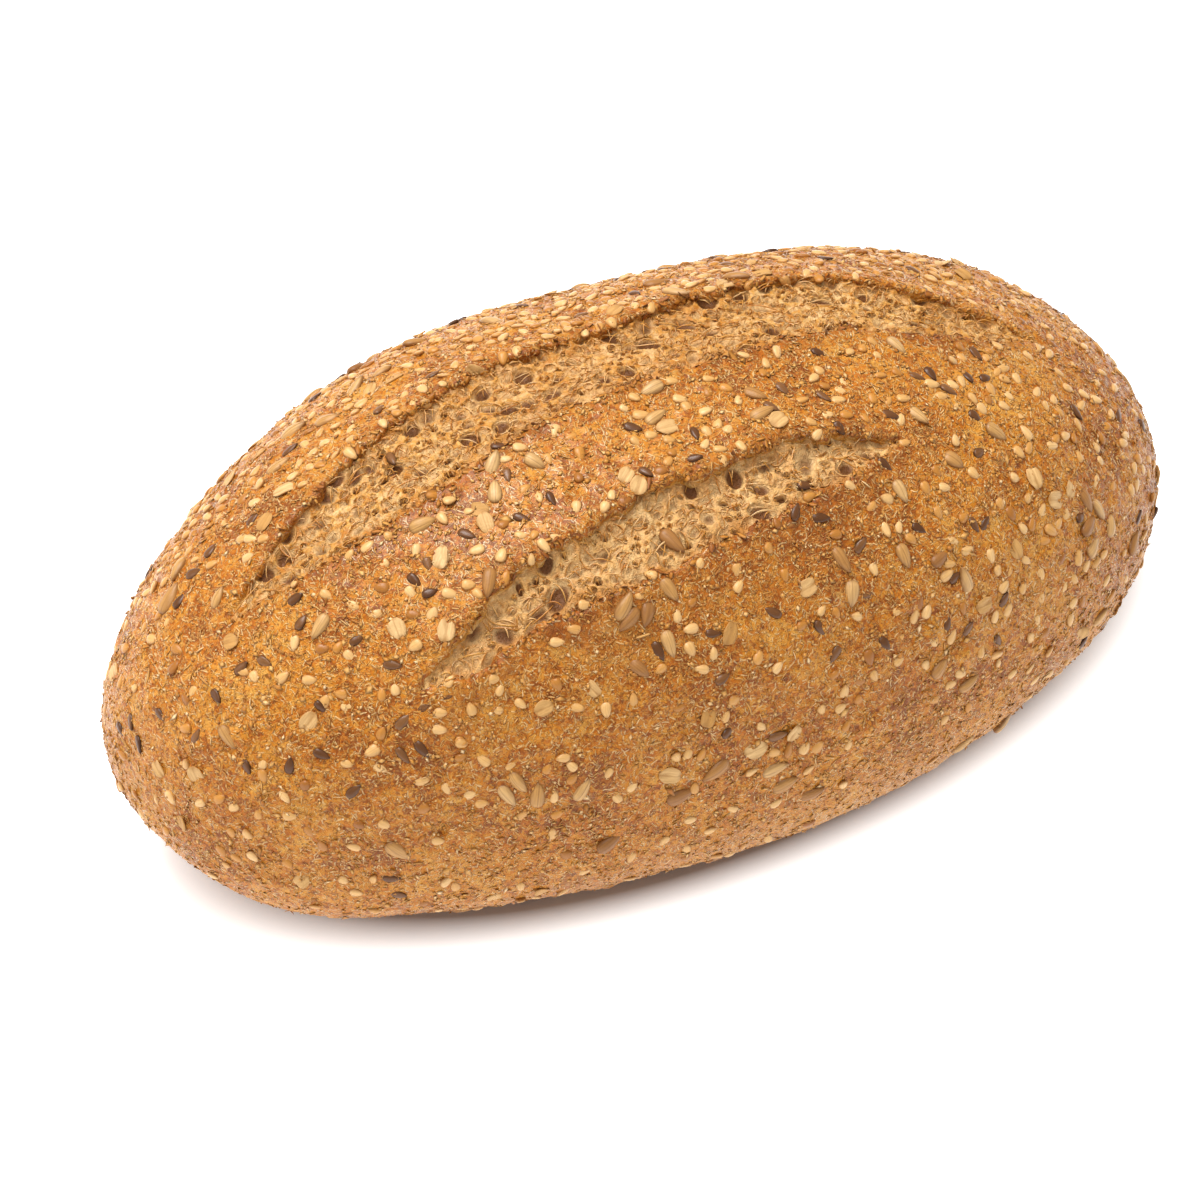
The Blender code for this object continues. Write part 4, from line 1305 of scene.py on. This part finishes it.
def seed_cover():
    """How thickly the crust is seeded, for each face of the seed bed: most behind the long slash,
    along the band between the slashes and at the +X end, and least on the near flank."""
    x, y, z = bed_places.T
    behind = risen(y, *BEHIND) * risen(z, *BEHIND_LEVEL)
    far_end = risen(x, *FAR_END)
    band = np.exp(-((y - BAND_MIDDLE) / BAND_WIDTH) ** 2) * risen(z, *BAND_LEVEL)
    cover = LEAST_COVER + BEHIND_COVER * behind + FAR_END_COVER * far_end + BAND_COVER * band
    cover *= 0.6 + 0.4 * risen(z, 0.0, GIRTH_LEVEL)
    return np.clip(cover, 0.0, 1.0) * (bed_under < TORN_CLEAR) * (z > LOWEST_SEED)


def scatter_more(draw, taken, count, room, cover):
    """Draws places on the seed bed, each clear of those already taken, with a way for each to lie."""
    weights = bed_areas * cover
    weights = weights / weights.sum()
    picks = draw.choice(len(bed_places), size=count * TRIES_A_SEED, p=weights)
    spots = []
    for pick in picks:
        place = bed_places[pick] + draw.normal(0, SEED_SHIFT, 3)
        kept = np.array(taken)
        away = np.linalg.norm(kept[:, :3] - place, axis=1)
        if (away < room + kept[:, 3]).any():
            continue
        taken.append((*place, room))
        spots.append((place, bed_facings[pick], draw.normal(size=3)))
        if len(spots) == count:
            break
    return spots


def spots_seen(seeds, taken, room):
    """Where the seeds seen in the picture lie on the seed bed or the crumb, and the way each points."""
    spots = []
    for pixel_x, pixel_y, degrees in seeds:
        place, facing = ray_to_skin(seed_bed, pixel_x, pixel_y)
        for crumb_bed in crumb_beds:
            lying, _ = ray_to_skin(crumb_bed, pixel_x, pixel_y)
            if lying is not None and (lying - camera_place).length < (place - camera_place).length:
                place = lying + CRUMB_STAND * towards_camera
                facing = Vector(skin_facing(np.array([place.x]), np.array([place.y]))[0])
        if place is not None:
            turn = math.radians(degrees)
            way = picture_right * math.cos(turn) + picture_up * math.sin(turn)
            lean = way.dot(facing) / max(towards_camera.dot(facing), STEEPEST_VIEW)
            taken.append((*place, room))
            spots.append((np.array(place), np.array(facing), np.array(way - towards_camera * lean)))
    return spots


def lay_seeds(kind, spots, shapes, draw):
    """Presses seeds of one kind into the crust at their spots."""
    count = len(spots)
    places, facings, ways = (np.array(part) for part in zip(*spots))
    places = places + facings * kind.thickness * kind.raised
    facings = facings + draw.normal(0, SEED_TILT, (count, 3))
    spread = draw.normal(1, kind.spread / 2, (count, 1)) * draw.normal(1, kind.spread / 2, (count, 3))
    sizes = np.array((kind.length, kind.width, kind.thickness)) * spread
    bends = draw.normal(0, SEED_BEND, count)
    made = lay_copies(kind.name, shapes, places, ways, facings, sizes, draw.uniform(0, 1, count), bends)
    made.data.shade_smooth()
    return made


def sesame_mould(along, across, up, turn):
    """A plump drop with one pointed end."""
    taper = 1 - 0.32 * along - 0.12 * along ** 3
    return Vector((along, across * taper, math.copysign(abs(up) ** 0.75, up) * (1 - 0.15 * along)))


def linseed_mould(along, across, up, turn):
    """A flat drop with a bevelled rim."""
    taper = 1 - 0.34 * along - 0.10 * along ** 2 - 0.20 * along ** 3
    return Vector((along, across * taper, math.copysign(abs(up) ** 0.6, up) * (1 - 0.2 * along)))


def sunflower_mould(along, across, up, turn):
    """A long drop with shallow grooves along it, blunt at one end and pointed at the other."""
    taper = 1 - 0.36 * along - 0.18 * along ** 3
    groove = 1 + 0.04 * math.cos(6 * math.atan2(up, across) + turn)
    lean = 0.06 * math.sin(turn * 2.1) * (1 - along ** 2)
    return Vector((along, across * taper * groove + lean, up * groove * (1 - 0.15 * along)))


def oat_mould(along, across, up, turn):
    """A rolled grain: a thin uneven flake, creased along its middle and curled at its sides."""
    edge = 1 + 0.16 * noise.noise(Vector((along * 1.7, across * 1.7, turn * 3.3)))
    crease = 0.26 * math.exp(-(across / 0.16) ** 2)
    curl = 0.9 * across ** 2 - 0.5 * noise.noise(Vector((along * 1.3, across * 1.3, turn * 5.1 + 9)))
    return Vector((along * edge, across * edge * (1 - 0.12 * along), up * 0.8 + curl - crease))


SESAME_COLOURS = ((0.0, (0.78, 0.49, 0.205)), (0.62, (0.68, 0.38, 0.125)), (0.84, (0.56, 0.240, 0.042)),
                  (1.0, (0.30, 0.105, 0.018)))
LINSEED_COLOURS = ((0.0, (0.105, 0.037, 0.010)), (0.6, (0.155, 0.058, 0.016)), (1.0, (0.24, 0.100, 0.030)))
SUNFLOWER_COLOURS = ((0.0, (0.68, 0.42, 0.170)), (0.45, (0.59, 0.32, 0.100)), (0.78, (0.44, 0.205, 0.054)),
                     (1.0, (0.31, 0.130, 0.034)))
SEED_GRAIN = 1500.0       # cells a metre
OAT_COLOURS = ((0.0, (0.76, 0.50, 0.23)), (0.6, (0.64, 0.37, 0.130)), (1.0, (0.52, 0.26, 0.065)))


def make_seed_group():
    """What all seeds and flakes show on their skin: streaks along it, a seam beside its middle, darker
    edges and point, partly their own tone and partly painted shade, an underside darkened as painted
    shade where they sink into the crust, and the height of the streaks and of a fine grain."""
    tree, given, result = new_group(
        "seed_skin",
        (("Own Place", "NodeSocketVector"), ("Tone", "NodeSocketFloat"), ("Place", "NodeSocketVector"),
         ("Streak", "NodeSocketFloat"), ("Seam", "NodeSocketFloat")),
        ("Streaks", "Seam", "Edges", "Height"))
    own = parts_of(tree, "ShaderNodeSeparateXYZ", given["Own Place"])
    stretched = add_node(tree, "ShaderNodeCombineXYZ", X=times(tree, own["X"], 0.6),
                         Y=times(tree, own["Y"], 4.0), Z=times(tree, given["Tone"], 90.0))
    streaks = noise_on(tree, stretched.outputs[0], 1.4, 2.0)
    darker = spread_range(tree, streaks, 0.35, 0.65, 0.0, given["Streak"])
    from_seam = work_out(tree, "ABSOLUTE", work_out(tree, "ADD", own["Y"], 0.10))
    seam = spread_range(tree, from_seam, 0.11, 0.03, 0.0, given["Seam"])
    # darker sides and underside: partly the seed's own rim, partly painted shade where it sinks in
    rim = work_out(tree, "POWER", work_out(tree, "ABSOLUTE", own["Y"]), 3.0)
    low = spread_range(tree, own["Z"], 0.72, 0.08, 0.0, 0.80)
    tip = spread_range(tree, own["X"], 0.55, 1.0, 0.0, 0.7)
    edges = work_out(tree, "MAXIMUM", work_out(tree, "MAXIMUM", times(tree, rim, 0.6), low), tip)
    fine = noise_on(tree, given["Place"], SEED_GRAIN, 2.0)
    height = work_out(tree, "ADD", times(tree, streaks, 0.8), fine)
    feed_all(tree, result, (darker, seam, edges, height))
    return tree


SEED_SKIN = make_seed_group()


def make_seed_material(name, colours, streak, seam, dark_mark_and_shade_tone, roughness, bump):
    """A seed's skin: its own tone, darker streaks and seam, and darker edges and underside, which are
    partly painted shade.
    """
    made, tree, surface, place = new_material(name, roughness, 0.32)
    tone = attribute_of(tree, "tone")
    skin = add_node(tree, "ShaderNodeGroup", node_tree=SEED_SKIN, Tone=tone, Place=place, Streak=streak,
                    Seam=seam, Own_Place=attribute_of(tree, "own_place", "Vector")).outputs
    colour = colour_ramp(tree, tone, colours)
    for mask in ("Streaks", "Seam", "Edges"):
        colour = blend_colours(tree, skin[mask], colour, dark_mark_and_shade_tone)
    tree.links.new(colour, surface.inputs["Base Color"])
    bump_of(tree, surface, skin["Height"], bump)
    return made


draw = np.random.default_rng(SEED_RANDOM)
cover = seed_cover()
unseen = (bed_facings @ towards_camera) < UNSEEN_FACING
behind = risen(bed_places[:, 1], *MOSTLY_BEHIND)
taken = []
sunflower_spots = spots_seen(SUNFLOWERS_SEEN, taken, SUNFLOWER.room)
oat_spots = spots_seen(OATS_SEEN, taken, OAT.room)
linseed_spots = spots_seen(LINSEEDS_SEEN, taken, LINSEED.room)
sesame_spots = spots_seen(SESAME_SEEN, taken, SESAME.room)
sunflower_spots += scatter_more(draw, taken, HIDDEN_SUNFLOWERS, SUNFLOWER.room, cover * unseen)
oat_spots += scatter_more(draw, taken, HIDDEN_OATS, OAT.room, cover * unseen)
linseed_spots += scatter_more(draw, taken, HIDDEN_LINSEEDS, LINSEED.room, cover * unseen)
oat_spots += scatter_more(draw, taken, MORE_OATS, OAT.room,
                          cover * np.maximum(behind, OATS_ELSEWHERE))
sesame_spots += scatter_more(draw, taken, MORE_SESAME, SESAME.room,
                             cover * np.maximum(behind, SESAME_ELSEWHERE))

for kind, spots, shapes, material in (
        (SUNFLOWER, sunflower_spots, shapes_of(sunflower_mould, 14, 10, range(4)),
         make_seed_material("sunflower_skin", SUNFLOWER_COLOURS, 0.34, 0.38, (0.19, 0.072, 0.017), 0.40,
                            0.00006)),
        (OAT, oat_spots, shapes_of(oat_mould, 14, 8, range(5)),
         make_seed_material("oat_flake", OAT_COLOURS, 0.35, 0.34, (0.36, 0.165, 0.04), 0.58, 0.00012)),
        (LINSEED, linseed_spots, shapes_of(linseed_mould, 10, 7, range(2)),
         make_seed_material("linseed_shine", LINSEED_COLOURS, 0.25, 0.0, (0.040, 0.017, 0.009), 0.30,
                            0.00002)),
        (SESAME, sesame_spots, shapes_of(sesame_mould, 8, 6, range(3)),
         make_seed_material("sesame_skin", SESAME_COLOURS, 0.20, 0.12, (0.30, 0.105, 0.016), 0.34,
                            0.00003))):
    laid = lay_seeds(kind, spots, shapes, draw)
    laid.data.materials.append(material)
    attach(laid, "root")


# ---- Bran on the crust ----
# Fine flakes and fibres of bran in the dough's skin, which stand up a little where it dried: pale
# ones all over, browned ones along the torn rims.
FLAKE_COUNT = 12000
FIBRE_COUNT = 6000
SPECK_COUNT = 9000
RIM_CHIP_COUNT = 800
FLAKE_SIZE = (0.00135, 0.00065, 0.00022)
FIBRE_SIZE = (0.00160, 0.00036, 0.00028)
SPECK_SIZE = (0.00080, 0.00046, 0.00032)
CHIP_SIZE = (0.00160, 0.00085, 0.00026)
BRAN_COLOURS = ((0.0, (0.42, 0.130, 0.009)), (0.45, (0.60, 0.26, 0.036)), (0.85, (0.76, 0.43, 0.130)),
                (1.0, (0.90, 0.66, 0.36)))
CHIP_COLOURS = ((0.0, (0.32, 0.090, 0.008)), (0.5, (0.50, 0.180, 0.016)), (1.0, (0.64, 0.30, 0.055)))
BRAN_SPREAD = 0.28        # how much their sizes differ
BRAN_BEND = 0.10
FLAKE_TILT = 0.22         # how far each leans out of the crust
FIBRE_TILT = 0.14
CHIP_TILT = 0.45
BRAN_STAND = (-0.00005, 0.00022)      # how high a flake's middle lies over the crust
BRAN_START = 0.002        # there is hardly any bran near the base: it starts at this height
BRAN_CLIMB = 0.035        # and is at its thickest this much higher
SKIN_DEPTH = 0.0008       # pale bran lies on the skin down to this depth beside a slash
RIM_DEPTH = 0.0012        # and the browned flakes of the rims down to this one
BRAN_SEED = 23


def flake_mould(along, across, up, turn):
    return Vector((along, across * (1 + 0.4 * math.sin(turn + 2 * along)), up))


def fibre_mould(along, across, up, turn):
    return Vector((along, across + 0.8 * math.sin(turn) * along ** 2, up))


def lay_bran(name, shapes, count, size, weights, tilt, draw):
    """Sows flakes over the finished crust, each tilted out of it by some amount."""
    places, facings, areas = read_faces(crust.data)
    under, _, at_edge = depth_and_rims(places)
    chances = areas * weights(places, under, at_edge)
    picks = draw.choice(len(places), size=count, p=chances / chances.sum())
    spread = draw.lognormal(0, BRAN_SPREAD, (count, 1)) * draw.uniform(0.75, 1.25, (count, 3))
    sizes = np.array(size) * spread
    facing = facings[picks] + draw.normal(0, tilt, (count, 3))
    place = places[picks] + facings[picks] * draw.uniform(*BRAN_STAND, (count, 1))
    return lay_copies(name, shapes, place, draw.normal(size=(count, 3)), facing, sizes,
                      draw.uniform(0, 1, count), draw.normal(0, BRAN_BEND, count))


def on_skin(places, under, at_edge):
    return (under < SKIN_DEPTH) * risen(places[:, 2], BRAN_START, BRAN_CLIMB)


def on_rims(places, under, at_edge):
    return (under < RIM_DEPTH) * at_edge ** 2


draw = np.random.default_rng(BRAN_SEED)
bran_material = make_seed_material("bran_pale", BRAN_COLOURS, 0.2, 0.0, (0.34, 0.15, 0.04), 0.45, 0.00003)
chip_material = make_seed_material("bran_browned", CHIP_COLOURS, 0.3, 0.0, (0.12, 0.04, 0.012), 0.50,
                                   0.00003)
flakes = lay_bran("bran_flakes", shapes_of(flake_mould, 4, 2, range(3)), FLAKE_COUNT, FLAKE_SIZE,
                  on_skin, FLAKE_TILT, draw)
specks = lay_bran("bran_specks", shapes_of(flake_mould, 4, 2, range(3)), SPECK_COUNT, SPECK_SIZE,
                  on_skin, FLAKE_TILT, draw)
fibres = lay_bran("bran_fibres", shapes_of(fibre_mould, 3, 4, range(6)), FIBRE_COUNT, FIBRE_SIZE,
                  on_skin, FIBRE_TILT, draw)
chips = lay_bran("rim_chips", shapes_of(flake_mould, 5, 4, range(5)), RIM_CHIP_COUNT, CHIP_SIZE,
                 on_rims, CHIP_TILT, draw)
for bran, material in ((flakes, bran_material), (specks, bran_material), (fibres, bran_material),
                       (chips, chip_material)):
    bran.data.materials.append(material)
    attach(bran, "root")


# ---- Light and floor ----
# A white table under a large soft lamp, with a second soft lamp low on the left. The table glows
# away from the loaf: painted light, which keeps the loaf's shadow close under its belly.
WHITE = (1.0, 1.0, 1.0)
WORLD_LIGHT = 0.40
TOP_PLACE = Vector((-0.16, 0.42, 1.52))
TOP_SIZE = 0.95
TOP_POWER = 29.0
FRONT_PLACE = Vector((-0.28, -0.50, 1.50))
FRONT_SIZE = 0.8
FRONT_POWER = 6.5
SIDE_PLACE = Vector((-1.30, 0.35, 0.62))
SIDE_SIZE = 0.6
SIDE_POWER = 2.8
FLOOR_SIZE = 30.0
FLOOR_WHITE = (0.74, 0.74, 0.74)
FLOOR_GLOW = 0.85         # painted light: the table's glow, which fades under the loaf
GLOW_MIDDLE = (0.006, 0.0, 0.0)
BASE_REACH = (0.107, 0.0525)
GLOW_REACH = (1.05, 1.21)


def add_lamp(name, place, size, power):
    lamp = bpy.data.objects.new(name, bpy.data.lights.new(name, "AREA"))
    lamp.data.shape = "DISK"
    lamp.data.size = size
    lamp.data.energy = power
    lamp.matrix_world = Matrix.Translation(place) @ place.to_track_quat("Z", "Y").to_matrix().to_4x4()
    bpy.context.scene.collection.objects.link(lamp)


add_lamp("top_lamp", TOP_PLACE, TOP_SIZE, TOP_POWER)
add_lamp("front_lamp", FRONT_PLACE, FRONT_SIZE, FRONT_POWER)
add_lamp("side_lamp", SIDE_PLACE, SIDE_SIZE, SIDE_POWER)
world = bpy.data.worlds.new("studio")
world.use_nodes = True
background = world.node_tree.nodes["Background"]
feed(world.node_tree, background.inputs["Color"], WHITE)
feed(world.node_tree, background.inputs["Strength"], WORLD_LIGHT)
bpy.context.scene.world = world
bpy.context.scene.view_settings.view_transform = "Standard"

form = bmesh.new()
bmesh.ops.create_grid(form, x_segments=1, y_segments=1, size=FLOOR_SIZE / 2)
floor = show("floor", mesh_of("floor", form))
floor_paint, tree, surface, place = new_material("floor_white", 0.9, 0.5)
feed(tree, surface.inputs["Base Color"], FLOOR_WHITE)
from_base, _ = vector_work(tree, "SUBTRACT", place, GLOW_MIDDLE)
from_base, _ = vector_work(tree, "MULTIPLY", from_base, (1 / BASE_REACH[0], 1 / BASE_REACH[1], 1.0))
_, out = vector_work(tree, "LENGTH", from_base)
glow = spread_range(tree, out, *GLOW_REACH, 0.0, FLOOR_GLOW)
tree.links.new(glow, surface.inputs["Emission Strength"])
feed(tree, surface.inputs["Emission Color"], WHITE)
floor.data.materials.append(floor_paint)
